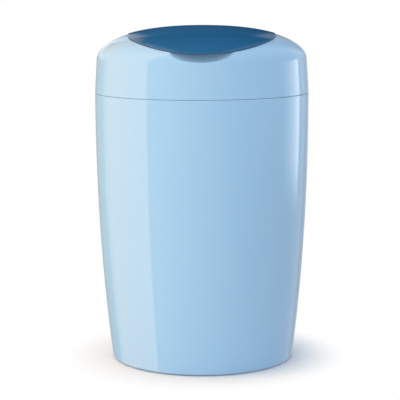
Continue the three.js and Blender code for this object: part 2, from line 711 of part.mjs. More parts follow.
const flap = new THREE.Group();
flap.position.z = SEAM_HEIGHT;
flap.add(piece("flap_cover", flapCover(), DARK_BLUE, 0.25));
flap.add(piece("flap_liner", flapLiner(), DARK_BLUE, 0.4));
flap.add(piece("flap_seal", flapSeal(), SEAL_GREY, 0.8));
addScrews(flap, "liner_screw", quarterPlaces(linerPostCircle, LINER_POST_ANGLE), linerMiddle);
flap.add(piece("scent_disc", scentDisc(), TABLET_WHITE, 0.9));
flap.add(piece("scent_cap", scentCap(), PALE, 0.4));

const part = new THREE.Group();
part.add(bin, ring, lid, flap);
export default part;
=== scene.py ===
"""The looks of a round nappy bin: a tapered bucket, a domed lid and a dark lift-up flap, in a plain studio."""

import json
import math

import bmesh
import bpy
import numpy as np
from mathutils import Matrix, Vector


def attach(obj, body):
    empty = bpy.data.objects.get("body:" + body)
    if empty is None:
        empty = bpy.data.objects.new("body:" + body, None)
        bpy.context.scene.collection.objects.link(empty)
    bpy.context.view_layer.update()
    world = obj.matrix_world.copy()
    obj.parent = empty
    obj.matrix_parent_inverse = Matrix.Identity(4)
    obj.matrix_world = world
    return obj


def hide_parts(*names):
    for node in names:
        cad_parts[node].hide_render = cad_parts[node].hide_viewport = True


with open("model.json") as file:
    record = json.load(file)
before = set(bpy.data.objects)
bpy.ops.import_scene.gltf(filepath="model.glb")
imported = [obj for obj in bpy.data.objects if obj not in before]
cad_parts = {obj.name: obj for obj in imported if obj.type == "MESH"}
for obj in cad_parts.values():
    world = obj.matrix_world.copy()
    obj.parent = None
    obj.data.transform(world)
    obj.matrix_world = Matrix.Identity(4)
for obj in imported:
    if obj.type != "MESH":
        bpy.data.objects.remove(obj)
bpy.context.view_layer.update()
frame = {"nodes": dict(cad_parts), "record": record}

# Sizes are in millimetres and are made metres when a mesh is written. Heights on the lid, the ring and the
# rim are taken from the seam, as in the part's source.
MM = 0.001

# Outer shape.
SEAM_RADIUS = 135
BASE_RADIUS = 115.7
SEAM_HEIGHT = 340
SEAM_GAP = 0.4  # the dark line between the lid and the body
SIDE_POWER = 2.2
SKIRT_HEIGHT = 39
SKIRT_DRAFT = 2.3
DOME_HEIGHT = 43.8
DOME_POWER = 2.26
SEAM_ROUND = 0.35  # the two edges at the seam

# Body.
BODY_WALL = 2.5
FLOOR_WALL = 3
BASE_EDGE = 2.5
BAND_MARGIN = 3
RECESS_DEPTH = 3
RIM_HEIGHT = 13
RIM_CLEARANCE = 1.5
RIM_ROUND = 0.8

# Feet.
FOOT_RADIUS = 9
FOOT_PROUD = 1.6
FOOT_SEAT = 1.6

# Fits.
FIT = 0.3
OVERRUN = 2

# Lid and flap.
LID_WALL = 2.5
CUT_HEIGHT = 53.5
CUT_RADIUS = 259
TIP_START = 87
TIP_RADIUS = 5.4
FLAP_GAP = 0.6
FLAP_PROUD = 1.2
FLAP_WALL = 2.4
FLAP_ROUND = 0.9  # the flap's outer edge
FLAP_INNER_ROUND = 0.4
BORDER_ROUND = 0.6  # the lid's edge beside the flap
HINGE_RELIEF = 1.2
RELIEF_START = 78  # the lid's border starts to drop here, measured towards the hinge
RELIEF_LENGTH = 14

# Finger scoop, the foot of a hollow larger than the dish that it leaves.
SCOOP_WIDTH = 174.5
SCOOP_HEIGHT = 102.1
SCOOP_DEPTH = 36
SCOOP_RISE = 40.9
SCOOP_FORWARD = 9.3
SCOOP_WALL = 2.4
LIP_ROUND = 0.6

# Bag ring.
RING_CLEARANCE = 0.8
RING_FLANGE = 1.8
RING_WALL = 2.2
RING_DEPTH = 20
RING_LIP = 5

# Collar, the plate under the lid, and the throat that is pressed into it.
COLLAR_WALL = 2.2
COLLAR_CLEARANCE = 0.8
COLLAR_POST_INSET = 12.5
COLLAR_POST_WALL = 3.3
COLLAR_POST_ANGLE = math.radians(42)
THROAT_WALL = 2.2
THROAT_RADIUS = 79
THROAT_TAPER = 7
THROAT_DROP = 14
SEAT_DROP = 7.5
SEAT_WIDTH = 8
FLANGE_LIP = 3
BEAD_LIP = 0.8
BEAD_HEIGHT = 1.6

# Seals.
LID_SEAL_HEIGHT = 3
LID_SEAL_WIDTH = 5
LID_SEAL_INSET = 0.6
FLAP_SEAL_HEIGHT = 2.4
FLAP_SEAL_WIDTH = 5
SEAL_ROUND = 0.9

# Liner, the inner half of the flap.
LINER_OVERHANG = 1
LINER_WALL = 2
LINER_RECESS = 8
LINER_LAND = 9
LINER_POST_INSET = 15
LINER_POST_WALL = 2.8
LINER_POST_ANGLE = math.radians(45)

# Screws, with a cross in the head.
SCREW_RADIUS = 1.4
SCREW_LENGTH = 12
SCREW_TIP = 1.6
HEAD_LIP = 2
HEAD_HEIGHT = 2
HEAD_ROUND = 0.9
CROSS_LENGTH = 3.6
CROSS_WIDTH = 0.8
CROSS_DEPTH = 1.1

# Hinge, two arms on pins between ears.
HINGE_DROP = 10
HINGE_CLEARANCE = 1.1
KNUCKLE_WALL = 1.9
ARM_OFFSET = 14
ARM_WIDTH = 8
ARM_CLEARANCE = 0.6
EAR_WALL = 2.7
EAR_WIDTH = 3
EAR_GAP = 0.8
SLOT_CLEARANCE = 2.3
PIN_RADIUS = 2
PIN_HEAD_LIP = 1
PIN_HEAD_WIDTH = 1.2

# Deodoriser: a tablet in a cup of the liner, behind a slotted cap with a bayonet turn.
CUP_RADIUS = 32
TABLET_HEIGHT = 8
TABLET_HEADROOM = 4
TABLET_CLEARANCE = 2.1
TABLET_ROUND = 1.4
CAP_OVERLAP = 4
CAP_WALL = 2
CAP_SKIRT_WALL = 1.6
CAP_SKIRT_CLEARANCE = 2.3
LEDGE_RISE = 1.2
LEDGE_HEIGHT = 1.8
LUG_HEIGHT = 1.8
LUG_CLEARANCE = 0.4
LEDGE_HALF_ANGLE = math.radians(32)
LUG_HALF_ANGLE = math.radians(20)
GRIP_LENGTH = 44
GRIP_WIDTH = 4
GRIP_HEIGHT = 4
CAP_SLOT_COUNT = 6
CAP_SLOT_WIDTH = 3.6
CAP_SLOT_INNER = 8
CAP_SLOT_INSET = 4
SMALL_ROUND = 0.5  # edges of the small mouldings

# How finely shapes are cut.
OUTLINE_POINTS = 4000
TURN_SEGMENTS = 288
SCOOP_COLUMNS = 48
LID_COLUMNS = 264
COVER_COLUMNS = 320
SKIRT_ROWS = 12
DOME_ROWS = 26
SCOOP_ROWS = 14
COVER_ROWS = 52
SIDE_ROWS = 70
ROUND_STEPS = 4
SHARP_ANGLE = math.radians(32)
SMALL_SEGMENTS = 48
ARC_STEPS = 12
MERGE = 0.0005

# Places that follow from the sizes above.
band_width = 2 * (FOOT_RADIUS + BAND_MARGIN)
foot_circle = BASE_RADIUS - BASE_EDGE - band_width / 2
rim_radius = SEAM_RADIUS - LID_WALL - RIM_CLEARANCE
rim_inside = rim_radius - BODY_WALL
ring_bottom = RIM_HEIGHT + FIT
lid_seal_bottom = ring_bottom + RING_FLANGE + FIT
collar_bottom = lid_seal_bottom + LID_SEAL_HEIGHT + FIT
collar_top = collar_bottom + COLLAR_WALL
throat_outside = THROAT_RADIUS + THROAT_WALL
seat_height = CUT_HEIGHT - SEAT_DROP
flap_seal_bottom = seat_height + FIT
liner_bottom = flap_seal_bottom + FLAP_SEAL_HEIGHT + FIT
liner_middle = liner_bottom + LINER_RECESS
liner_floor = liner_middle + LINER_WALL
liner_radius = THROAT_RADIUS + SEAT_WIDTH + LINER_OVERHANG
land_inside = liner_radius - LINER_LAND - LINER_WALL
liner_post_circle = land_inside - LINER_POST_INSET
screw_hole = SCREW_RADIUS + FIT
cap_skirt = CUP_RADIUS - CAP_SKIRT_CLEARANCE
tablet_radius = cap_skirt - CAP_SKIRT_WALL - TABLET_CLEARANCE
cover_inside = FLAP_PROUD - FLAP_WALL
arm_reach = ARM_OFFSET + ARM_WIDTH / 2
pin_hole = PIN_RADIUS + FIT
knuckle_radius = pin_hole + KNUCKLE_WALL
ear_radius = pin_hole + EAR_WALL
hinge_height = CUT_HEIGHT - HINGE_DROP
arm_sides = [(x - ARM_WIDTH / 2, x + ARM_WIDTH / 2) for x in (-ARM_OFFSET, ARM_OFFSET)]


def skirt_radius(height):
    """Outside radius of the lid's straight side at a height above the seam."""
    return SEAM_RADIUS - SKIRT_DRAFT * height / SKIRT_HEIGHT


def side_radius(depth):
    """Outside radius of the body at a depth below the seam."""
    return SEAM_RADIUS - (SEAM_RADIUS - BASE_RADIUS) * (depth / SEAM_HEIGHT) ** SIDE_POWER


def dome_radius(height, offset=0):
    """Radius at a height above the seam of the dome's surface, moved out by an offset."""
    share = ((height - SKIRT_HEIGHT) / (DOME_HEIGHT + offset)) ** DOME_POWER
    return (SEAM_RADIUS - SKIRT_DRAFT + offset) * (1 - share) ** (1 / DOME_POWER)


def dome_height(radius, offset):
    """Height above the seam at a radius of the dome's surface, moved out by an offset."""
    share = (radius / (SEAM_RADIUS - SKIRT_DRAFT + offset)) ** DOME_POWER
    return SKIRT_HEIGHT + (DOME_HEIGHT + offset) * (1 - share) ** (1 / DOME_POWER)


def border_height(x, shift):
    """Height above the seam of the border between lid and flap, which is cut straight through from front to
    back: an arc that turns up more steeply at the flap's tips."""
    turn = np.maximum(np.abs(x) - TIP_START, 0) ** 2 / (2 * TIP_RADIUS)
    return CUT_HEIGHT + shift + CUT_RADIUS - np.sqrt(CUT_RADIUS**2 - x**2) + turn


collar_radius = skirt_radius(collar_top) - LID_WALL - COLLAR_CLEARANCE
collar_post_circle = collar_radius - COLLAR_POST_INSET
hinge_back = (
    math.sqrt(dome_radius(hinge_height, -LID_WALL) ** 2 - arm_reach**2) - knuckle_radius - HINGE_CLEARANCE)


class DomeLine:
    """The lid's outline, moved out by an offset, from a height on the skirt to the crown."""

    def __init__(self, offset, bottom):
        angles = np.linspace(0, math.pi / 2, OUTLINE_POINTS)
        reach = SEAM_RADIUS - SKIRT_DRAFT + offset
        dome_radii = reach * np.abs(np.cos(angles)) ** (2 / DOME_POWER)
        dome_heights = SKIRT_HEIGHT + (DOME_HEIGHT + offset) * np.sin(angles) ** (2 / DOME_POWER)
        skirt_heights = np.linspace(bottom, SKIRT_HEIGHT, OUTLINE_POINTS // 4)[:-1]
        self.radii = np.concatenate([skirt_radius(skirt_heights) + offset, dome_radii])
        self.radii[-1] = 0
        self.heights = np.concatenate([skirt_heights, dome_heights])
        steps = np.hypot(np.diff(self.radii), np.diff(self.heights))
        self.along = np.concatenate([[0], np.cumsum(steps)])
        self.skirt_end = self.along[len(skirt_heights)]
        self.crown = self.along[-1]

    def place(self, along, azimuth):
        """A point at a length along the outline. The azimuth is 0 at the front and grows towards the right."""
        radius = np.interp(along, self.along, self.radii)
        height = np.interp(along, self.along, self.heights)
        return np.array([radius * math.sin(azimuth), -radius * math.cos(azimuth), height])

    def crossing(self, values):
        """Length along the outline at which the values first rise past zero, or its end where they never do."""
        after = int(np.argmax(values > 0))
        if after == 0:
            return self.crown
        share = values[after - 1] / (values[after - 1] - values[after])
        return self.along[after - 1] + share * (self.along[after] - self.along[after - 1])

    def border(self, azimuth, shift, relief=0):
        """Where the outline meets the border. The border may be lower towards the hinge, by a relief."""
        drop = relief * np.clip((-self.radii * math.cos(azimuth) - RELIEF_START) / RELIEF_LENGTH, 0, 1)
        return self.crossing(self.heights + drop - border_height(self.radii * math.sin(azimuth), shift))


class Scoop:
    """The finger scoop's hollow, made larger by an offset."""

    def __init__(self, offset):
        self.half_width = SCOOP_WIDTH / 2 + offset
        self.depth = SCOOP_DEPTH + offset
        self.half_height = SCOOP_HEIGHT / 2 + offset
        self.middle_y = -dome_radius(CUT_HEIGHT) - SCOOP_FORWARD
        self.middle_z = CUT_HEIGHT + SCOOP_RISE

    def lip(self, line, azimuth):
        """Length along the lid's outline at which it enters the hollow."""
        x = line.radii * math.sin(azimuth) / self.half_width
        y = (-line.radii * math.cos(azimuth) - self.middle_y) / self.depth
        z = (line.heights - self.middle_z) / self.half_height
        return line.crossing(1 - x**2 - y**2 - z**2)

    def corner(self, line, shift):
        """Azimuth at which the lip meets the border."""
        low, high = 0, math.asin(min(self.half_width / line.radii[0], 1))
        while high - low > 1e-7:
            middle = (low + high) / 2
            if self.lip(line, middle) < line.border(middle, shift):
                low = middle
            else:
                high = middle
        return low

    def rows(self, lip_point, shift):
        """Points over the hollow's back from the lip up to the border, at one distance from the middle."""
        x = lip_point[0]
        share = math.sqrt(1 - (x / self.half_width) ** 2)
        start = math.atan2(
            (lip_point[2] - self.middle_z) / self.half_height, (lip_point[1] - self.middle_y) / self.depth)
        top = (border_height(x, shift) - self.middle_z) / (self.half_height * share)
        points = []
        for angle in np.linspace(start, math.asin(top), SCOOP_ROWS + 1)[1:]:
            y = self.middle_y + self.depth * share * math.cos(angle)
            z = self.middle_z + self.half_height * share * math.sin(angle)
            points.append(np.array([x, y, z]))
        return points


def rounded(points, sizes):
    """A line of points with some of its corners rounded. Sizes gives the rounding at each such point."""
    line = []
    for index, corner in enumerate(points):
        if index not in sizes:
            line.append(corner)
            continue
        before = points[index - 1] - corner
        after = points[(index + 1) % len(points)] - corner
        lengths = np.linalg.norm(before), np.linalg.norm(after)
        size = min(sizes[index], 0.45 * min(lengths))
        start = corner + before * (size / max(lengths[0], 1e-9))
        end = corner + after * (size / max(lengths[1], 1e-9))
        for share in np.linspace(0, 1, ROUND_STEPS + 1):
            line.append((1 - share) ** 2 * start + 2 * share * (1 - share) * corner + share**2 * end)
    return line


def piece_from_mesh(name, mesh, material):
    """A piece in the scene, smooth but for its sharp edges."""
    shape = bmesh.new()
    shape.from_mesh(mesh)
    bmesh.ops.remove_doubles(shape, verts=shape.verts, dist=MERGE * MM)
    bmesh.ops.recalc_face_normals(shape, faces=shape.faces)
    for face in shape.faces:
        face.smooth = True
    for edge in shape.edges:
        edge.smooth = len(edge.link_faces) == 2 and edge.calc_face_angle(0) < SHARP_ANGLE
    shape.to_mesh(mesh)
    shape.free()
    mesh.name = name
    mesh.materials.clear()
    mesh.materials.append(material)
    piece = bpy.data.objects.new(name, mesh)
    bpy.context.scene.collection.objects.link(piece)
    return piece


def skin(name, spans, closed, material):
    """A piece spanned over columns of points that stand side by side round the bin. Each span is a run of
    such columns, and the runs meet at their first and last ones."""
    points = []
    faces = []
    for columns in spans:
        count = len(columns[0])
        for index, column in enumerate(columns):
            here = len(points)
            points += [(x * MM, y * MM, (z + SEAM_HEIGHT) * MM) for x, y, z in column]
            if index == 0:
                continue
            for row in range(count if closed else count - 1):
                above = (row + 1) % count
                faces.append((here - count + row, here + row, here + above, here - count + above))
    mesh = bpy.data.meshes.new(name)
    mesh.from_pydata(points, [], faces)
    return piece_from_mesh(name, mesh, material)


def fitted(piece, tool, operation):
    """A piece joined with, cut by or kept inside a tool, which is used up."""
    modifier = piece.modifiers.new("fit", "BOOLEAN")
    modifier.object = tool
    modifier.operation = operation
    modifier.solver = "EXACT"
    graph = bpy.context.evaluated_depsgraph_get()
    mesh = bpy.data.meshes.new_from_object(piece.evaluated_get(graph))
    name, material = piece.name, piece.data.materials[0]
    bpy.data.objects.remove(tool)
    bpy.data.objects.remove(piece)
    return piece_from_mesh(name, mesh, material)


def gathered(name, pieces):
    """Several pieces that don't touch, as one."""
    shape = bmesh.new()
    material = pieces[0].data.materials[0]
    for piece in pieces:
        shape.from_mesh(piece.data)
        bpy.data.objects.remove(piece)
    mesh = bpy.data.meshes.new(name)
    shape.to_mesh(mesh)
    shape.free()
    return piece_from_mesh(name, mesh, material)


def prism(name, outline, low, high, axis, material, edge=0):
    """A plate from an outline, square to X (outline of y and z) or Z (outline of x and y), with its edges rounded."""
    shape = bmesh.new()
    for level in (low, high):
        for first, second in outline:
            place = (level, first, second) if axis == "X" else (first, second, level)
            shape.verts.new([size * MM for size in place])
    shape.verts.ensure_lookup_table()
    count = len(outline)
    shape.faces.new(shape.verts[:count])
    shape.faces.new(shape.verts[count:][::-1])
    for index in range(count):
        after = (index + 1) % count
        corners = (index, after, count + after, count + index)
        shape.faces.new([shape.verts[corner] for corner in corners])
    bmesh.ops.recalc_face_normals(shape, faces=shape.faces)
    if edge:
        sharp = [line for line in shape.edges if line.calc_face_angle() > SHARP_ANGLE]
        bmesh.ops.bevel(shape, geom=sharp, offset=edge * MM, segments=2, affect="EDGES", profile=0.5)
    mesh = bpy.data.meshes.new(name)
    shape.to_mesh(mesh)
    shape.free()
    return piece_from_mesh(name, mesh, material)


def block(name, x, y, z, material, edge=0):
    """A block between pairs of sides."""
    outline = [(x[0], y[0]), (x[1], y[0]), (x[1], y[1]), (x[0], y[1])]
    return prism(name, outline, z[0], z[1], "Z", material, edge)


def arc(radius, start, end, steps):
    """Points on an arc about the upright axis."""
    return [(radius * math.cos(a), radius * math.sin(a)) for a in np.linspace(start, end, steps + 1)]


def arc_block(name, inner, outer, middle, half_angle, low, high, material):
    """A block between two radii and two angles."""
    outline = arc(outer, middle - half_angle, middle + half_angle, ARC_STEPS)
    outline += arc(inner, middle + half_angle, middle - half_angle, ARC_STEPS)
    return prism(name, outline, low, high, "Z", material)


def cross_bar(name, radius, left, right, material, segments=SMALL_SEGMENTS, edge=0):
    """A round bar along X on the hinge's axis."""
    angles = np.linspace(0, 2 * math.pi, segments, endpoint=False)
    height = SEAM_HEIGHT + hinge_height
    outline = [(hinge_back + radius * math.cos(a), height + radius * math.sin(a)) for a in angles]
    return prism(name, outline, left, right, "X", material, edge)


def add_node(tree, kind, inputs=None, **settings):
    """A node with its settings, and its inputs set to values or joined to other nodes' outputs."""
    node = tree.nodes.new(kind)
    for name, value in settings.items():
        setattr(node, name, value)
    for key, value in (inputs or {}).items():
        if isinstance(value, bpy.types.NodeSocket):
            tree.links.new(value, node.inputs[key])
        else:
            node.inputs[key].default_value = value
    return node


def linear(hex_colour):
    """A linear colour from an sRGB hex value."""
    shares = [int(hex_colour[start:start + 2], 16) / 255 for start in (1, 3, 5)]
    return [share / 12.92 if share <= 0.04045 else ((share + 0.055) / 1.055) ** 2.4 for share in shares] + [1]


# Spacing of a finish's slow drifts of colour, and of the patches where it is more or less glossy.
DRIFT_SPACING = 83
WEAR_SPACING = 11


def plastic(name, colour, tint, roughness, ripple, ripple_height, grain, grain_height, ior=1.49):
    """A moulded plastic: two nearly equal colours in slow drifts, and a ripple and a grain in its surface.
    The ripple and the grain are given by their spacing and height in millimetres."""
    material = bpy.data.materials.new(name)
    material.use_nodes = True
    tree = material.node_tree
    tree.nodes.clear()
    place = add_node(tree, "ShaderNodeTexCoord").outputs["Object"]
    drift = add_node(tree, "ShaderNodeTexNoise", {"Vector": place, "Scale": 1 / (DRIFT_SPACING * MM), "Detail": 3})
    shade = add_node(tree, "ShaderNodeMix", {
        "Factor": drift.outputs["Fac"], "A": linear(colour), "B": linear(tint)}, data_type="RGBA")
    wear = add_node(tree, "ShaderNodeTexNoise", {"Vector": place, "Scale": 1 / (WEAR_SPACING * MM), "Detail": 4})
    gloss = add_node(tree, "ShaderNodeMapRange", {
        "Value": wear.outputs["Fac"], "From Min": 0.3, "From Max": 0.7,
        "To Min": roughness * 0.8, "To Max": roughness * 1.25})
    waves = add_node(tree, "ShaderNodeTexNoise", {"Vector": place, "Scale": 1 / (ripple * MM), "Detail": 1})
    ripples = add_node(tree, "ShaderNodeBump", {
        "Height": waves.outputs["Fac"], "Distance": ripple_height * MM, "Strength": 1})
    grains = add_node(tree, "ShaderNodeTexNoise", {"Vector": place, "Scale": 1 / (grain * MM), "Detail": 2})
    surface = add_node(tree, "ShaderNodeBump", {
        "Height": grains.outputs["Fac"], "Distance": grain_height * MM, "Strength": 1,
        "Normal": ripples.outputs["Normal"]})
    shader = add_node(tree, "ShaderNodeBsdfPrincipled", {
        "Base Color": shade.outputs["Result"], "Roughness": gloss.outputs["Result"], "IOR": ior,
        "Normal": surface.outputs["Normal"]})
    add_node(tree, "ShaderNodeOutputMaterial", {"Surface": shader.outputs["BSDF"]})
    return material


# Polypropylene, injection moulded in a polished tool: a clear gloss, with the slow ripple of thick plastic.
light_blue = plastic("polypropylene_light_blue_polished", "#98c6ee", "#9bc8ee", 0.07, 9, 0.002, 0.6, 0.0002)
# The same, in dark blue.
dark_blue = plastic("polypropylene_dark_blue_polished", "#226091", "#256496", 0.12, 9, 0.001, 0.6, 0.0003)
# Polypropylene from a spark-eroded tool: satin, with a fine even grain.
pale_satin = plastic("polypropylene_pale_satin", "#dfe9f1", "#e4edf4", 0.38, 6, 0.004, 0.5, 0.004)
dark_satin = plastic("polypropylene_dark_blue_satin", "#27618f", "#2a6594", 0.36, 6, 0.004, 0.5, 0.004)
# Soft rubber feet, moulded: matt, dark and slightly dusty.
foot_rubber = plastic("rubber_black_moulded", "#3a4045", "#474d52", 0.8, 3, 0.01, 0.4, 0.01)
# Grey silicone seals, extruded: a soft sheen.
seal_grey = plastic("silicone_grey_extruded", "#7b868e", "#858f97", 0.55, 4, 0.006, 0.5, 0.004)
# A pressed scent tablet: chalky and full of tiny pits.
chalk = plastic("scent_tablet_pressed", "#f1eee0", "#e6e2d2", 0.9, 2.2, 0.12, 0.7, 0.06)
# Zinc-plated steel.
steel = plastic("steel_zinc_plated", "#b4b9be", "#c2c6ca", 0.3, 2, 0.004, 0.3, 0.002)
steel.node_tree.nodes["Principled BSDF"].inputs["Metallic"].default_value = 1

slot_finishes = {
    "light_blue": light_blue,
    "dark_blue": dark_satin,
    "pale_plastic": pale_satin,
    "foot_rubber": foot_rubber,
    "seal_rubber": seal_grey,
    "steel": steel,
    "tablet": chalk,
}

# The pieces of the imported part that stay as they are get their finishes.
for subpart in frame["record"]["subparts"]:
    for material_slot in frame["nodes"][subpart["node"]].material_slots:
        material_slot.material = slot_finishes[subpart["material_slot"]]


def turned_tree():
    """Turns an outline of points, given by radius and height, about the upright axis."""
    tree = bpy.data.node_groups.new("turned_wall", "GeometryNodeTree")
    tree.interface.new_socket("Outline", in_out="INPUT", socket_type="NodeSocketGeometry")
    tree.interface.new_socket("Segments", in_out="INPUT", socket_type="NodeSocketInt")
    tree.interface.new_socket("Finish", in_out="INPUT", socket_type="NodeSocketMaterial")
    tree.interface.new_socket("Geometry", in_out="OUTPUT", socket_type="NodeSocketGeometry")
    given = add_node(tree, "NodeGroupInput").outputs
    size = add_node(tree, "GeometryNodeAttributeDomainSize", {"Geometry": given["Outline"]})
    points = size.outputs["Point Count"]
    columns = add_node(tree, "ShaderNodeMath", {0: given["Segments"], 1: 1}, operation="ADD")
    grid = add_node(tree, "GeometryNodeMeshGrid", {
        "Size X": 1, "Size Y": 1, "Vertices X": columns.outputs[0], "Vertices Y": points})
    index = add_node(tree, "GeometryNodeInputIndex").outputs["Index"]
    row = add_node(tree, "ShaderNodeMath", {0: index, 1: points}, operation="MODULO")
    column = add_node(tree, "ShaderNodeMath", {0: index, 1: points}, operation="DIVIDE")
    column = add_node(tree, "ShaderNodeMath", {0: column.outputs[0]}, operation="FLOOR")
    position = add_node(tree, "GeometryNodeInputPosition")
    sample = add_node(tree, "GeometryNodeSampleIndex", {
        "Geometry": given["Outline"], "Value": position.outputs[0], "Index": row.outputs[0]},
        data_type="FLOAT_VECTOR")
    turn = add_node(tree, "ShaderNodeMath", {0: column.outputs[0], 1: given["Segments"]}, operation="DIVIDE")
    angle = add_node(tree, "ShaderNodeMath", {0: turn.outputs[0], 1: 2 * math.pi}, operation="MULTIPLY")
    placed = add_node(tree, "ShaderNodeVectorRotate", {
        "Vector": sample.outputs["Value"], "Angle": angle.outputs[0]}, rotation_type="Z_AXIS")
    wall = add_node(tree, "GeometryNodeSetPosition", {
        "Geometry": grid.outputs["Mesh"], "Position": placed.outputs["Vector"]})
    closed = add_node(tree, "GeometryNodeMergeByDistance", {
        "Geometry": wall.outputs["Geometry"], "Distance": MERGE * MM})
    real = add_node(tree, "GeometryNodeRealizeInstances", {"Geometry": closed.outputs["Geometry"]})
    finished = add_node(tree, "GeometryNodeSetMaterial", {
        "Geometry": real.outputs["Geometry"], "Material": given["Finish"]})
    add_node(tree, "NodeGroupOutput", {"Geometry": finished.outputs["Geometry"]})
    return tree


def corners_tree():
    """Copies a piece to the four corners of a rectangle."""
    tree = bpy.data.node_groups.new("four_corners", "GeometryNodeTree")
    tree.interface.new_socket("Piece", in_out="INPUT", socket_type="NodeSocketGeometry")
    for name in ("Half Width", "Half Depth"):
        tree.interface.new_socket(name, in_out="INPUT", socket_type="NodeSocketFloat")
    tree.interface.new_socket("Finish", in_out="INPUT", socket_type="NodeSocketMaterial")
    tree.interface.new_socket("Geometry", in_out="OUTPUT", socket_type="NodeSocketGeometry")
    given = add_node(tree, "NodeGroupInput").outputs
    width = add_node(tree, "ShaderNodeMath", {0: given["Half Width"], 1: 2}, operation="MULTIPLY")
    depth = add_node(tree, "ShaderNodeMath", {0: given["Half Depth"], 1: 2}, operation="MULTIPLY")
    grid = add_node(tree, "GeometryNodeMeshGrid", {
        "Size X": width.outputs[0], "Size Y": depth.outputs[0], "Vertices X": 2, "Vertices Y": 2})
    copies = add_node(tree, "GeometryNodeInstanceOnPoints", {
        "Points": grid.outputs["Mesh"], "Instance": given["Piece"]})
    real = add_node(tree, "GeometryNodeRealizeInstances", {"Geometry": copies.outputs["Instances"]})
    finished = add_node(tree, "GeometryNodeSetMaterial", {
        "Geometry": real.outputs["Geometry"], "Material": given["Finish"]})
    add_node(tree, "NodeGroupOutput", {"Geometry": finished.outputs["Geometry"]})
    return tree


def axis_tree():
    """Copies a piece round the upright axis, the first one half a step on."""
    tree = bpy.data.node_groups.new("round_the_axis", "GeometryNodeTree")
    tree.interface.new_socket("Piece", in_out="INPUT", socket_type="NodeSocketGeometry")
    tree.interface.new_socket("Count", in_out="INPUT", socket_type="NodeSocketInt")
    tree.interface.new_socket("Finish", in_out="INPUT", socket_type="NodeSocketMaterial")
    tree.interface.new_socket("Geometry", in_out="OUTPUT", socket_type="NodeSocketGeometry")
    given = add_node(tree, "NodeGroupInput").outputs
    points = add_node(tree, "GeometryNodeMeshLine", {"Count": given["Count"], "Offset": (0, 0, 0)})
    index = add_node(tree, "GeometryNodeInputIndex").outputs["Index"]
    place = add_node(tree, "ShaderNodeMath", {0: index, 1: 0.5}, operation="ADD")
    share = add_node(tree, "ShaderNodeMath", {0: place.outputs[0], 1: given["Count"]}, operation="DIVIDE")
    angle = add_node(tree, "ShaderNodeMath", {0: share.outputs[0], 1: 2 * math.pi}, operation="MULTIPLY")
    turn = add_node(tree, "ShaderNodeCombineXYZ", {"Z": angle.outputs[0]})
    copies = add_node(tree, "GeometryNodeInstanceOnPoints", {
        "Points": points.outputs["Mesh"], "Instance": given["Piece"], "Rotation": turn.outputs[0]})
    real = add_node(tree, "GeometryNodeRealizeInstances", {"Geometry": copies.outputs["Instances"]})
    finished = add_node(tree, "GeometryNodeSetMaterial", {
        "Geometry": real.outputs["Geometry"], "Material": given["Finish"]})
    add_node(tree, "NodeGroupOutput", {"Geometry": finished.outputs["Geometry"]})
    return tree


def grown(name, start, tree, values, material):
    """A piece made by a node tree from a starting mesh, as a plain mesh."""
    seed = bpy.data.objects.new(f"{name}_start", start)
    bpy.context.scene.collection.objects.link(seed)
    modifier = seed.modifiers.new("tree", "NODES")
    modifier.node_group = tree
    for socket in tree.interface.items_tree:
        if socket.in_out == "INPUT" and socket.name in values:
            modifier[socket.identifier] = values[socket.name]
        if socket.in_out == "INPUT" and socket.name == "Finish":
            modifier[socket.identifier] = material
    graph = bpy.context.evaluated_depsgraph_get()
    mesh = bpy.data.meshes.new_from_object(seed.evaluated_get(graph))
    bpy.data.objects.remove(seed)
    return piece_from_mesh(name, mesh, material)


def turned(name, outline, rounds, material, segments=TURN_SEGMENTS, lift=0):
    """A piece turned from an outline of radius and height in millimetres, with some corners rounded."""
    flat = [np.array([radius, 0, height + lift], float) for radius, height in outline]
    line = rounded(flat, rounds)
    if outline[0][0] > 0:
        line.append(line[0])
    mesh = bpy.data.meshes.new(name)
    mesh.from_pydata([tuple(point * MM) for point in line], [(i, i + 1) for i in range(len(line) - 1)], [])
    return grown(name, mesh, turned_wall, {"Segments": segments}, material)


turned_wall = turned_tree()
four_corners = corners_tree()
round_axis = axis_tree()


def edge_points(radius, centre_radius, centre_height, steps):
    """A rounded edge from straight down to straight in, about a centre."""
    angles = np.linspace(0, math.pi / 2, steps, endpoint=False)
    return [(centre_radius + radius * math.sin(a), centre_height - radius * math.cos(a)) for a in angles]


def side_points(start, end, wall):
    """The body's side from one depth to another, moved in by a wall."""
    return [(side_radius(depth) - wall, SEAM_HEIGHT - depth) for depth in np.linspace(start, end, SIDE_ROWS)]


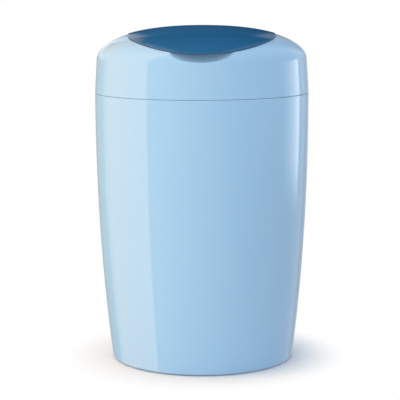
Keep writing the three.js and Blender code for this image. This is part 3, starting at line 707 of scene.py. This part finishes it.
def make_body():
    """The bucket: its side draws in towards the base, and a stepped-in rim stands above the seam."""
    band_inside = BASE_RADIUS - BASE_EDGE - band_width
    recess_inside = band_inside - RECESS_DEPTH
    edge_height = FOOT_PROUD + BASE_EDGE
    shoulder = SEAM_HEIGHT - SEAM_GAP / 2
    rim_top = SEAM_HEIGHT + RIM_HEIGHT
    floor_top = FOOT_PROUD + FLOOR_WALL
    inner_edge = SEAM_HEIGHT - floor_top - BASE_EDGE
    outer_side = side_points(SEAM_GAP / 2, SEAM_HEIGHT - edge_height, 0)[::-1]
    inner_side = side_points(SEAM_GAP / 2 + 2 * BODY_WALL, inner_edge, BODY_WALL)
    outline = [(0, FOOT_PROUD + RECESS_DEPTH), (recess_inside, FOOT_PROUD + RECESS_DEPTH), (band_inside, FOOT_PROUD)]
    outline += edge_points(BASE_EDGE, side_radius(SEAM_HEIGHT - edge_height) - BASE_EDGE, edge_height, 8)
    outline += outer_side
    seam_edge = len(outline) - 1
    outline += [(rim_radius, shoulder), (rim_radius, rim_top), (rim_inside, rim_top)]
    outline += [(rim_inside, shoulder - BODY_WALL)]
    outline += inner_side
    inner_centre = side_radius(inner_edge) - BODY_WALL - BASE_EDGE
    outline += edge_points(BASE_EDGE, inner_centre, floor_top + BASE_EDGE, 8)[::-1]
    outline += [(band_inside, floor_top), (recess_inside, floor_top + RECESS_DEPTH), (0, floor_top + RECESS_DEPTH)]
    rounds = {1: 1, 2: 1, seam_edge: SEAM_ROUND, seam_edge + 2: RIM_ROUND, seam_edge + 3: RIM_ROUND}
    body = turned("bin_body_shell", outline, rounds, light_blue)
    pocket = round_bar("pocket", FOOT_RADIUS + FIT, -OVERRUN - SEAM_HEIGHT, FOOT_PROUD + FOOT_SEAT + FIT - SEAM_HEIGHT, light_blue)
    return fitted(body, at_corners("pockets", pocket, foot_circle, math.pi / 4), "DIFFERENCE")


def lid_wall_columns(line, scoop, shift):
    """Columns over one side of the lid's wall, from its bottom up to the border: those that pass through the
    scoop, and then the rest, which start and end at the scoop's corners."""
    corner = scoop.corner(line, shift)
    front = []
    for azimuth in np.linspace(-corner, corner, SCOOP_COLUMNS + 1)[1:-1]:
        column = wall_rows(line, azimuth, scoop.lip(line, azimuth))
        front.append(column + scoop.rows(column[-1], shift))
    rest = []
    for azimuth in np.linspace(corner, 2 * math.pi - corner, LID_COLUMNS + 1):
        rest.append(wall_rows(line, azimuth, line.border(azimuth, shift, HINGE_RELIEF)))
    return front, rest


def wall_rows(line, azimuth, end):
    """Points up the lid's side at an azimuth, to a length along the outline."""
    skirt = np.linspace(0, line.skirt_end, SKIRT_ROWS + 1)
    dome = np.linspace(line.skirt_end, end, DOME_ROWS + 1)[1:]
    return [line.place(along, azimuth) for along in [*skirt, *dome]]


def corner_column(plain):
    """The column at a corner of the scoop, with as many points as the scoop's own columns have."""
    edge = SKIRT_ROWS + DOME_ROWS + ROUND_STEPS
    inner = edge + ROUND_STEPS + 1
    column = plain[:edge] + [plain[edge]] * (ROUND_STEPS + SCOOP_ROWS)
    return column + plain[edge:inner] + [plain[inner]] * SCOOP_ROWS + plain[inner:]


def make_lid_wall():
    """The domed lid with its scoop. Its wall runs up the outside, over the border and down the inside."""
    bottom = SEAM_GAP / 2
    shift = -FLAP_GAP / 2
    outer = lid_wall_columns(DomeLine(0, bottom), Scoop(0), shift)
    inner = lid_wall_columns(DomeLine(-LID_WALL, bottom), Scoop(SCOOP_WALL), shift)
    lip = SKIRT_ROWS + DOME_ROWS
    rest = []
    for outside, inside in zip(outer[1], inner[1]):
        rest.append(rounded(outside + inside[::-1], {0: SEAM_ROUND, lip: BORDER_ROUND}))
    front = [corner_column(rest[-1])]
    for outside, inside in zip(outer[0], inner[0]):
        sizes = {0: SEAM_ROUND, lip: LIP_ROUND, len(outside) - 1: BORDER_ROUND}
        front.append(rounded(outside + inside[::-1], sizes))
    front.append(corner_column(rest[0]))
    return skin("lid_shell_wall", [front, rest], True, light_blue)


def make_lid_posts():
    """Four posts for the collar's screws and four ears for the hinge pins, kept inside the lid's wall."""
    middle = DomeLine(-LID_WALL / 2, SEAM_GAP / 2)
    rows = np.linspace(0, middle.crown, SIDE_ROWS)
    outline = [(0, SEAM_GAP / 2)]
    outline += [(np.interp(row, middle.along, middle.radii), np.interp(row, middle.along, middle.heights)) for row in rows]
    limit = turned("lid_limit", outline, {}, light_blue, lift=SEAM_HEIGHT)
    top = SKIRT_HEIGHT + DOME_HEIGHT
    post = round_bar("post", screw_hole + COLLAR_POST_WALL, collar_top + FIT, top, light_blue)
    posts = at_corners("posts", post, collar_post_circle, COLLAR_POST_ANGLE)
    low, high = SEAM_HEIGHT + hinge_height - ear_radius, SEAM_HEIGHT + hinge_height + ear_radius
    outline = [(SEAM_RADIUS, low), (SEAM_RADIUS, high)]
    for angle in np.linspace(math.pi / 2, 3 * math.pi / 2, ARC_STEPS + 1):
        place = hinge_back + ear_radius * math.cos(angle), SEAM_HEIGHT + hinge_height + ear_radius * math.sin(angle)
        outline.append(place)
    ears = [prism("ear", outline, left, right, "X", light_blue) for left, right in ear_sides()]
    return fitted(gathered("lid_posts", [posts, *ears]), limit, "INTERSECT")


def ear_sides():
    """Left and right sides of the four ears, two beside each arm."""
    sides = []
    for left, right in arm_sides:
        sides += [(left - EAR_GAP - EAR_WIDTH, left - EAR_GAP), (right + EAR_GAP, right + EAR_GAP + EAR_WIDTH)]
    return sides


def make_lid_shell():
    """The lid's wall with its posts and ears, and with the holes for screws, pins and arms."""
    lid = fitted(make_lid_wall(), make_lid_posts(), "UNION")
    hole = round_bar("hole", screw_hole, collar_top, collar_top + SCREW_LENGTH + OVERRUN, light_blue)
    cuts = [at_corners("holes", hole, collar_post_circle, COLLAR_POST_ANGLE)]
    low = SEAM_HEIGHT + hinge_height - knuckle_radius - SLOT_CLEARANCE
    for left, right in arm_sides:
        sides = left - EAR_GAP, right + EAR_GAP
        depth = hinge_back, SEAM_RADIUS + OVERRUN
        cuts.append(block("slot", sides, depth, (low, SEAM_HEIGHT + CUT_HEIGHT + OVERRUN), light_blue))
    lid = fitted(lid, gathered("cuts", cuts), "DIFFERENCE")
    reach = arm_reach + EAR_GAP + EAR_WIDTH + OVERRUN
    return fitted(lid, cross_bar("pin_hole", pin_hole, -reach, reach, light_blue), "DIFFERENCE")


def make_flap_cover():
    """The flap's cover: it continues the dome, a little proud, with a rounded edge, and has posts for the liner."""
    outside = DomeLine(FLAP_PROUD, 0)
    inside = DomeLine(cover_inside, 0)
    columns = []
    for azimuth in np.linspace(0, 2 * math.pi, COVER_COLUMNS + 1):
        outer = np.linspace(outside.crown, outside.border(azimuth, FLAP_GAP / 2), COVER_ROWS + 1)
        inner = np.linspace(inside.border(azimuth, FLAP_GAP / 2), inside.crown, COVER_ROWS + 1)
        points = [outside.place(along, azimuth) for along in outer]
        points += [inside.place(along, azimuth) for along in inner]
        columns.append(rounded(points, {COVER_ROWS: FLAP_ROUND, COVER_ROWS + 1: FLAP_INNER_ROUND}))
    cover = skin("flap_cover_shell", [columns], False, dark_blue)
    top = dome_height(liner_post_circle, cover_inside) + FLAP_WALL / 2
    post = round_bar("post", screw_hole + LINER_POST_WALL, liner_floor + FIT, top, dark_blue)
    posts = at_corners("posts", post, liner_post_circle, LINER_POST_ANGLE)
    hole = round_bar("hole", screw_hole, liner_floor, liner_floor + SCREW_LENGTH + OVERRUN, dark_blue)
    holes = at_corners("holes", hole, liner_post_circle, LINER_POST_ANGLE)
    return fitted(fitted(cover, posts, "UNION"), holes, "DIFFERENCE")


def make_throat():
    """The tube that a nappy drops through, with the seat for the flap's seal at its top, a flange that rests on
    the collar and a bead that snaps in under it."""
    narrow = THROAT_RADIUS - THROAT_TAPER
    flange = throat_outside + FLANGE_LIP
    seat = THROAT_RADIUS + SEAT_WIDTH
    bead_top = collar_bottom - FIT
    flange_bottom = collar_top + FIT
    outline = [
        (narrow, -THROAT_DROP), (narrow + THROAT_WALL, -THROAT_DROP), (throat_outside, bead_top - BEAD_HEIGHT),
        (throat_outside + BEAD_LIP, bead_top), (throat_outside, bead_top), (throat_outside, flange_bottom),
        (flange, flange_bottom), (flange, flange_bottom + THROAT_WALL), (throat_outside, flange_bottom + THROAT_WALL),
        (throat_outside, seat_height - THROAT_WALL), (seat, seat_height - THROAT_WALL), (seat, seat_height),
        (THROAT_RADIUS, seat_height), (THROAT_RADIUS, bead_top - BEAD_HEIGHT)]
    rounds = {0: 1, 1: 1, 6: SMALL_ROUND, 7: 0.9, 8: 1.2, 9: 1, 10: 0.9, 11: 0.9, 12: 1.2, 13: 2}
    return turned("throat_moulding", outline, rounds, pale_satin, lift=SEAM_HEIGHT)


def make_lid_collar():
    """The flat ring between the lid and the throat, held to the lid's four posts."""
    inside = throat_outside + FIT
    outline = [
        (inside, collar_bottom), (collar_radius, collar_bottom), (collar_radius, collar_top), (inside, collar_top)]
    rounds = dict.fromkeys(range(len(outline)), SMALL_ROUND)
    collar = turned("lid_collar_moulding", outline, rounds, pale_satin, lift=SEAM_HEIGHT)
    hole = round_bar("hole", screw_hole, collar_bottom - OVERRUN, collar_top + OVERRUN, pale_satin)
    return fitted(collar, at_corners("holes", hole, collar_post_circle, COLLAR_POST_ANGLE), "DIFFERENCE")


def make_bag_ring():
    """The ring over the rim that holds the bag's mouth, with a grip lip at its foot."""
    outside = rim_inside - RING_CLEARANCE
    inside = outside - RING_WALL
    top = ring_bottom + RING_FLANGE
    bottom = top - RING_DEPTH
    outline = [
        (inside - RING_LIP, bottom), (outside, bottom), (outside, ring_bottom), (rim_radius, ring_bottom),
        (rim_radius, top), (inside, top), (inside, bottom + RING_WALL), (inside - RING_LIP, bottom + RING_WALL)]
    rounds = {0: 1, 1: 1.4, 2: 0.4, 3: 0.7, 4: 0.7, 5: 1.6, 6: 1.2, 7: 1}
    return turned("bag_ring_moulding", outline, rounds, pale_satin, lift=SEAM_HEIGHT)


def make_seal(name, inside, outside, bottom, height):
    """A flat sealing ring with soft edges."""
    outline = [(inside, bottom), (outside, bottom), (outside, bottom + height), (inside, bottom + height)]
    rounds = dict.fromkeys(range(len(outline)), SEAL_ROUND)
    return turned(name, outline, rounds, seal_grey, lift=SEAM_HEIGHT)


def round_bar(name, radius, bottom, top, material, edge=0):
    """An upright round bar above the seam, on the middle axis."""
    outline = [(0, bottom), (radius, bottom), (radius, top), (0, top)]
    return turned(name, outline, {1: edge, 2: edge} if edge else {}, material, SMALL_SEGMENTS, SEAM_HEIGHT)


def at_corners(name, piece, circle, angle):
    """A piece copied to four places round the middle axis, one in each quarter."""
    values = {"Half Width": circle * math.cos(angle) * MM, "Half Depth": circle * math.sin(angle) * MM}
    mesh, material = piece.data, piece.data.materials[0]
    bpy.data.objects.remove(piece)
    return grown(name, mesh, four_corners, values, material)


def make_screws(name, circle, angle, height):
    """Four pan-head screws that point up, with their heads against a face at a height."""
    head = SCREW_RADIUS + HEAD_LIP
    face = height - FIT
    outline = [
        (0, face - HEAD_HEIGHT), (head, face - HEAD_HEIGHT), (head, face), (SCREW_RADIUS, face),
        (SCREW_RADIUS, face + SCREW_LENGTH - SCREW_TIP), (0, face + SCREW_LENGTH)]
    screw = turned(name, outline, {1: HEAD_ROUND}, steel, SMALL_SEGMENTS, SEAM_HEIGHT)
    long_side = -CROSS_LENGTH / 2, CROSS_LENGTH / 2
    short_side = -CROSS_WIDTH / 2, CROSS_WIDTH / 2
    low = SEAM_HEIGHT + face - HEAD_HEIGHT
    depth = low - OVERRUN, low + CROSS_DEPTH
    screw = fitted(screw, block("cross", long_side, short_side, depth, steel), "DIFFERENCE")
    screw = fitted(screw, block("cross", short_side, long_side, depth, steel), "DIFFERENCE")
    return at_corners(name, screw, circle, angle)


def make_feet():
    """Four rubber feet, seated in pockets of the base."""
    outline = [(0, 0), (FOOT_RADIUS, 0), (FOOT_RADIUS, FOOT_PROUD + FOOT_SEAT), (0, FOOT_PROUD + FOOT_SEAT)]
    foot = turned("foot", outline, {1: 0.7, 2: 0.3}, foot_rubber, SMALL_SEGMENTS)
    return at_corners("feet", foot, foot_circle, math.pi / 4)


def make_hinge_pins():
    """Two steel pins, each with a head on its outer side."""
    pins = []
    for side in (-1, 1):
        near, far = sorted(side * x for sides in ear_sides() for x in sides if side * x > 0)[::3][:2]
        head = far + FIT
        ends = sorted([side * near, side * (head + PIN_HEAD_WIDTH)])
        shaft = cross_bar("pin", PIN_RADIUS, *ends, steel, edge=0.3)
        ends = sorted([side * head, side * (head + PIN_HEAD_WIDTH)])
        pins.append(fitted(shaft, cross_bar("head", PIN_RADIUS + PIN_HEAD_LIP, *ends, steel, edge=0.3), "UNION"))
    return gathered("hinge_pins", pins)


def make_flap_liner():
    """The flap's tray: a land that presses the seal, a raised middle with the tablet's cup, and two hinge arms."""
    wall_top = dome_height(liner_radius, cover_inside) - FIT
    inside = liner_radius - LINER_WALL
    cup_top = liner_middle + TABLET_HEIGHT + TABLET_HEADROOM
    outline = [
        (0, cup_top), (CUP_RADIUS, cup_top), (CUP_RADIUS, liner_middle), (land_inside, liner_middle),
        (land_inside, liner_bottom), (liner_radius, liner_bottom), (liner_radius, wall_top), (inside, wall_top),
        (inside, liner_bottom + LINER_WALL), (land_inside + LINER_WALL, liner_bottom + LINER_WALL),
        (land_inside + LINER_WALL, liner_floor), (CUP_RADIUS + LINER_WALL, liner_floor),
        (CUP_RADIUS + LINER_WALL, cup_top + LINER_WALL), (0, cup_top + LINER_WALL)]
    rounds = {1: 1, 2: 0.8, 3: 2, 4: 1, 5: 1.4, 6: 0.6, 7: 0.6, 10: 1, 12: 1}
    liner = turned("flap_liner_moulding", outline, rounds, dark_satin, lift=SEAM_HEIGHT)
    low = SEAM_HEIGHT + liner_middle + LEDGE_RISE
    additions = []
    for middle in (0, math.pi):
        additions.append(arc_block(
            "ledge", cap_skirt + LUG_CLEARANCE, CUP_RADIUS + LINER_WALL / 2, middle, LEDGE_HALF_ANGLE,
            low, low + LEDGE_HEIGHT, dark_satin))
    additions += [prism("arm", arm_outline(), left, right, "X", dark_satin, 0.6) for left, right in arm_sides]
    liner = fitted(liner, gathered("liner_additions", additions), "UNION")
    hole = round_bar("hole", screw_hole, liner_middle - OVERRUN, liner_floor + OVERRUN, dark_satin)
    liner = fitted(liner, at_corners("holes", hole, liner_post_circle, LINER_POST_ANGLE), "DIFFERENCE")
    reach = arm_reach + OVERRUN
    return fitted(liner, cross_bar("pin_hole", pin_hole, -reach, reach, dark_satin), "DIFFERENCE")


def arm_outline():
    """An arm from the tray's back wall to the hinge, close under the cover, by y and z."""
    start = math.sqrt((liner_radius - LINER_WALL / 2) ** 2 - arm_reach**2)
    outline = [(start, liner_bottom)]
    for angle in np.linspace(-math.pi / 2, 0, ARC_STEPS + 1):
        place = hinge_back + knuckle_radius * math.cos(angle), hinge_height + knuckle_radius * math.sin(angle)
        outline.append(place)
    for y in np.linspace(hinge_back, start, ARC_STEPS + 1):
        outline.append((y, dome_height(math.hypot(y, arm_reach), cover_inside) - ARM_CLEARANCE))
    return [(y, z + SEAM_HEIGHT) for y, z in outline]


def make_tablet():
    """The pressed tablet in the cup."""
    top = liner_middle + TABLET_HEIGHT
    outline = [(0, liner_middle), (tablet_radius, liner_middle), (tablet_radius, top), (0, top)]
    return turned("scent_tablet", outline, {1: TABLET_ROUND, 2: TABLET_ROUND}, chalk, lift=SEAM_HEIGHT)


def make_scent_cap():
    """The slotted cap under the tablet, with a bayonet skirt and a grip across it."""
    top = liner_middle - FIT
    bottom = top - CAP_WALL
    lug_bottom = liner_middle + LEDGE_RISE + LEDGE_HEIGHT + FIT
    skirt_top = lug_bottom + LUG_HEIGHT
    edge = CUP_RADIUS + CAP_OVERLAP
    outline = [
        (0, bottom), (edge, bottom), (edge, top), (cap_skirt, top), (cap_skirt, skirt_top),
        (cap_skirt - CAP_SKIRT_WALL, skirt_top), (cap_skirt - CAP_SKIRT_WALL, top), (0, top)]
    rounds = {1: 0.9, 2: 0.7, 4: SMALL_ROUND, 5: SMALL_ROUND}
    cap = turned("scent_cap_moulding", outline, rounds, pale_satin, lift=SEAM_HEIGHT)
    for middle in (0, math.pi):
        lug = arc_block(
            "lug", cap_skirt - CAP_SKIRT_WALL / 2, CUP_RADIUS - LUG_CLEARANCE, middle, LUG_HALF_ANGLE,
            SEAM_HEIGHT + lug_bottom, SEAM_HEIGHT + skirt_top, pale_satin)
        cap = fitted(cap, lug, "UNION")
    sides = -GRIP_LENGTH / 2, GRIP_LENGTH / 2
    depth = -GRIP_WIDTH / 2, GRIP_WIDTH / 2
    height = SEAM_HEIGHT + bottom - GRIP_HEIGHT, SEAM_HEIGHT + bottom + CAP_WALL / 2
    cap = fitted(cap, block("grip", sides, depth, height, pale_satin, 0.8), "UNION")
    inner, outer = CAP_SLOT_INNER, tablet_radius - CAP_SLOT_INSET
    across = -CAP_SLOT_WIDTH / 2, CAP_SLOT_WIDTH / 2
    through = SEAM_HEIGHT + bottom - OVERRUN, SEAM_HEIGHT + top + OVERRUN
    slot = block("slot", (inner, outer), across, through, pale_satin)
    mesh = slot.data
    bpy.data.objects.remove(slot)
    slots = grown("slots", mesh, round_axis, {"Count": CAP_SLOT_COUNT}, pale_satin)
    return fitted(cap, slots, "DIFFERENCE")


def placed(piece, body_name, slot_name, *nodes):
    """Says which body a piece rides on and which nodes it stands for. The slot name is not used."""
    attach(piece, body_name)
    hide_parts(*nodes)


def numbered(prefix):
    """Names of the four nodes of one kind."""
    return [f"{prefix}_{number}" for number in range(1, 5)]


lid_seal_outside = rim_radius - LID_SEAL_INSET
flap_seal_inside = THROAT_RADIUS + (SEAT_WIDTH - FLAP_SEAL_WIDTH) / 2
placed(make_body(), "bin", "light_blue", "bin_body")
placed(make_feet(), "bin", "foot_rubber", *numbered("foot"))
placed(make_bag_ring(), "ring", "pale_plastic", "bag_ring")
placed(make_lid_shell(), "lid", "light_blue", "lid_shell")
placed(make_lid_collar(), "lid", "pale_plastic", "lid_collar")
placed(make_throat(), "lid", "pale_plastic", "throat")
placed(make_seal("lid_seal_ring", lid_seal_outside - LID_SEAL_WIDTH, lid_seal_outside, lid_seal_bottom,
                 LID_SEAL_HEIGHT), "lid", "seal_rubber", "lid_seal")
placed(make_screws("collar_screws", collar_post_circle, COLLAR_POST_ANGLE, collar_bottom),
       "lid", "steel", *numbered("collar_screw"))
placed(make_hinge_pins(), "lid", "steel", "hinge_pin_1", "hinge_pin_2")
placed(make_flap_cover(), "flap", "dark_blue", "flap_cover")
placed(make_flap_liner(), "flap", "dark_blue", "flap_liner")
placed(make_seal("flap_seal_ring", flap_seal_inside, flap_seal_inside + FLAP_SEAL_WIDTH, flap_seal_bottom,
                 FLAP_SEAL_HEIGHT), "flap", "seal_rubber", "flap_seal")
placed(make_screws("liner_screws", liner_post_circle, LINER_POST_ANGLE, liner_middle),
       "flap", "steel", *numbered("liner_screw"))
placed(make_tablet(), "flap", "tablet", "scent_disc")
placed(make_scent_cap(), "cap", "pale_plastic", "scent_cap")


# Camera at the photograph's angle.
CAMERA_DISTANCE = 1898
CAMERA_HEIGHT = 481.45
CAMERA_PITCH = math.radians(8.39)
CAMERA_ROLL = math.radians(-0.2)
CAMERA_LENS = 134.85
CAMERA_SHIFT = -0.0055

camera_data = bpy.data.cameras.new("camera")
camera_data.lens = CAMERA_LENS
camera_data.shift_x = CAMERA_SHIFT
camera = bpy.data.objects.new("camera", camera_data)
bpy.context.scene.collection.objects.link(camera)
camera.matrix_world = (
    Matrix.Translation((0, -CAMERA_DISTANCE * MM, CAMERA_HEIGHT * MM))
    @ Matrix.Rotation(math.pi / 2 - CAMERA_PITCH, 4, "X")
    @ Matrix.Rotation(CAMERA_ROLL, 4, "Z"))
bpy.context.scene.camera = camera
bpy.context.scene.view_settings.view_transform = "Standard"


def seen_directly(tree):
    """1 for rays from the camera and for mirrored and passing rays, else 0."""
    path = add_node(tree, "ShaderNodeLightPath").outputs
    total = add_node(tree, "ShaderNodeMath", {0: path["Is Camera Ray"], 1: path["Is Glossy Ray"]}, operation="ADD")
    total = add_node(tree, "ShaderNodeMath", {
        0: total.outputs[0], 1: path["Is Transmission Ray"]}, operation="ADD", use_clamp=True)
    return total.outputs[0]


def make_world():
    """An even room light that shows as white."""
    world = bpy.data.worlds.new("studio")
    bpy.context.scene.world = world
    world.use_nodes = True
    tree = world.node_tree
    tree.nodes.clear()
    light = add_node(tree, "ShaderNodeBackground", {"Color": linear(ROOM_COLOUR), "Strength": ROOM_STRENGTH})
    white = add_node(tree, "ShaderNodeBackground", {"Color": linear("#ffffff"), "Strength": 1})
    mix = add_node(tree, "ShaderNodeMixShader", {
        0: seen_directly(tree), 1: light.outputs[0], 2: white.outputs[0]})
    add_node(tree, "ShaderNodeOutputWorld", {"Surface": mix.outputs[0]})


def make_floor():
    """A pale floor that keeps the shadow near the bin and turns white further out."""
    material = bpy.data.materials.new("floor_pale")
    material.use_nodes = True
    tree = material.node_tree
    tree.nodes.clear()
    place = add_node(tree, "ShaderNodeTexCoord").outputs["Object"]
    distance = add_node(tree, "ShaderNodeVectorMath", {0: place}, operation="LENGTH")
    far = add_node(tree, "ShaderNodeMapRange", {
        "Value": distance.outputs["Value"], "From Min": FLOOR_NEAR * MM, "From Max": FLOOR_FAR * MM},
        interpolation_type="SMOOTHSTEP")
    share = add_node(tree, "ShaderNodeMath", {0: far.outputs["Result"], 1: seen_directly(tree)}, operation="MULTIPLY")
    matt = add_node(tree, "ShaderNodeBsdfDiffuse", {"Color": linear(FLOOR_COLOUR)})
    white = add_node(tree, "ShaderNodeEmission", {"Color": linear("#ffffff"), "Strength": 1})
    mix = add_node(tree, "ShaderNodeMixShader", {0: share.outputs[0], 1: matt.outputs[0], 2: white.outputs[0]})
    add_node(tree, "ShaderNodeOutputMaterial", {"Surface": mix.outputs[0]})
    mesh = bpy.data.meshes.new("floor")
    reach = 60
    mesh.from_pydata([(-reach, -reach, 0), (reach, -reach, 0), (reach, reach, 0), (-reach, reach, 0)], [], [(0, 1, 2, 3)])
    mesh.materials.append(material)
    floor = bpy.data.objects.new("floor", mesh)
    bpy.context.scene.collection.objects.link(floor)
    floor.visible_glossy = False


def make_card(name, azimuth, distances, width, heights, colour, strength, edge):
    """A softbox or dark flag at an azimuth from the front that faces the bin, with its distance and height at
    its lower and its upper end. Strength is given at its two sides. It fades out towards its sides and its
    ends, by shares of its size."""
    material = bpy.data.materials.new(name)
    material.use_nodes = True
    tree = material.node_tree
    tree.nodes.clear()
    place = add_node(tree, "ShaderNodeTexCoord").outputs["UV"]
    parts = add_node(tree, "ShaderNodeSeparateXYZ", {0: place}).outputs
    fades = []
    for axis, share in (("X", edge[0]), ("Y", edge[1])):
        centred = add_node(tree, "ShaderNodeMath", {0: parts[axis], 1: 0.5}, operation="SUBTRACT")
        away = add_node(tree, "ShaderNodeMath", {0: centred.outputs[0]}, operation="ABSOLUTE")
        fades.append(add_node(tree, "ShaderNodeMapRange", {
            "Value": away.outputs[0], "From Min": 0.5 - share, "From Max": 0.5, "To Min": 1, "To Max": 0},
            interpolation_type="SMOOTHSTEP").outputs["Result"])
    cover = add_node(tree, "ShaderNodeMath", {0: fades[0], 1: fades[1]}, operation="MULTIPLY")
    clear = add_node(tree, "ShaderNodeBsdfTransparent")
    power = add_node(tree, "ShaderNodeMapRange", {
        "Value": parts["X"], "To Min": strength[0], "To Max": strength[1]}).outputs["Result"]
    light = add_node(tree, "ShaderNodeEmission", {"Color": linear(colour), "Strength": power})
    mix = add_node(tree, "ShaderNodeMixShader", {0: cover.outputs[0], 1: clear.outputs[0], 2: light.outputs[0]})
    add_node(tree, "ShaderNodeOutputMaterial", {"Surface": mix.outputs[0]})
    mesh = bpy.data.meshes.new(name)
    half = width / 2
    lower, upper = zip((-distances[0], -distances[1]), heights)
    flat = [(-half, *lower), (half, *lower), (half, *upper), (-half, *upper)]
    turn = Matrix.Rotation(math.radians(azimuth), 3, "Z")
    mesh.from_pydata([tuple(turn @ Vector(point) * MM) for point in flat], [], [(0, 1, 2, 3)])
    layer = mesh.uv_layers.new(name="UVMap")
    for corner, place in zip(layer.data, ((0, 0), (1, 0), (1, 1), (0, 1))):
        corner.uv = place
    mesh.materials.append(material)
    card = bpy.data.objects.new(name, mesh)
    bpy.context.scene.collection.objects.link(card)
    card.visible_camera = False
    card.visible_shadow = False
    return card


# Light.
ROOM_COLOUR = "#f0f9ff"
ROOM_STRENGTH = 0.63
FLOOR_COLOUR = "#f0f3f8"
FLOOR_NEAR = 100
FLOOR_FAR = 190
KEY_COLOUR = "#ffdab2"
KEY_STRENGTH = (1.5, 3.65)
SHOULDER_STRENGTH = (0.6, 1.6)
STRIP_STRENGTH = (0.8, 4.2)
FILL_COLOUR = "#fff6ea"
FILL_STRENGTH = (1.5, 1.85)
TOP_STRENGTH = (2.2, 2.2)
DARK = (0, 0)
FAINT = (0.08, 0.2)
DIM = (0.42, 0.42)
PALE = (0.6, 0.6)
GREY = (0.32, 0.32)

make_world()
make_floor()
make_card("key_softbox", -89, (1500, 1500), 1785, (-1500, 5000), KEY_COLOUR, KEY_STRENGTH, (0.004, 0.02))
make_card("right_strip", 108, (1500, 1500), 980, (-120, 680), "#ffffff", STRIP_STRENGTH, (0.13, 0.27))
fill = make_card("fill_front", -12, (1500, 1500), 3000, (-150, 900), FILL_COLOUR, FILL_STRENGTH, (0.1, 0.1))
top = make_card("top_softbox", 0, (800, -800), 1600, (2500, 2500), "#ffffff", TOP_STRENGTH, (0.1, 0.1))
low_card = make_card("dark_card_low", 75, (420, 420), 700, (0, 190), "#000000", DARK, (0.1, 0.1))
for card in (fill, top, low_card):
    card.visible_glossy = False
mirrored = [
    make_card("key_shoulder", -143, (1500, 1300), 1092, (719, 1949), KEY_COLOUR, SHOULDER_STRENGTH, (0.03, 0.03)),
    make_card("dark_flag_high", 180, (1629, -1200), 1300, (1230, 3600), "#000000", DARK, (0.12, 0.03)),
    make_card("dark_flag_low", 180, (2798, 1500), 740, (250, 1340), "#6fb4ff", FAINT, (0.12, 0.01)),
    make_card("grey_flag_back", 171, (2750, -1320), 2050, (510, 3920), "#ffffff", GREY, (0.25, 0.02)),
    make_card("grey_flag_right", 156, (2500, 2500), 1400, (-1600, 900), "#ffffff", PALE, (0.1, 0.1)),
    make_card("grey_flag_left", -148, (2500, 2500), 1900, (-1600, 700), "#ffffff", DIM, (0.02, 0.1)),
]
for card in mirrored:
    card.visible_diffuse = False
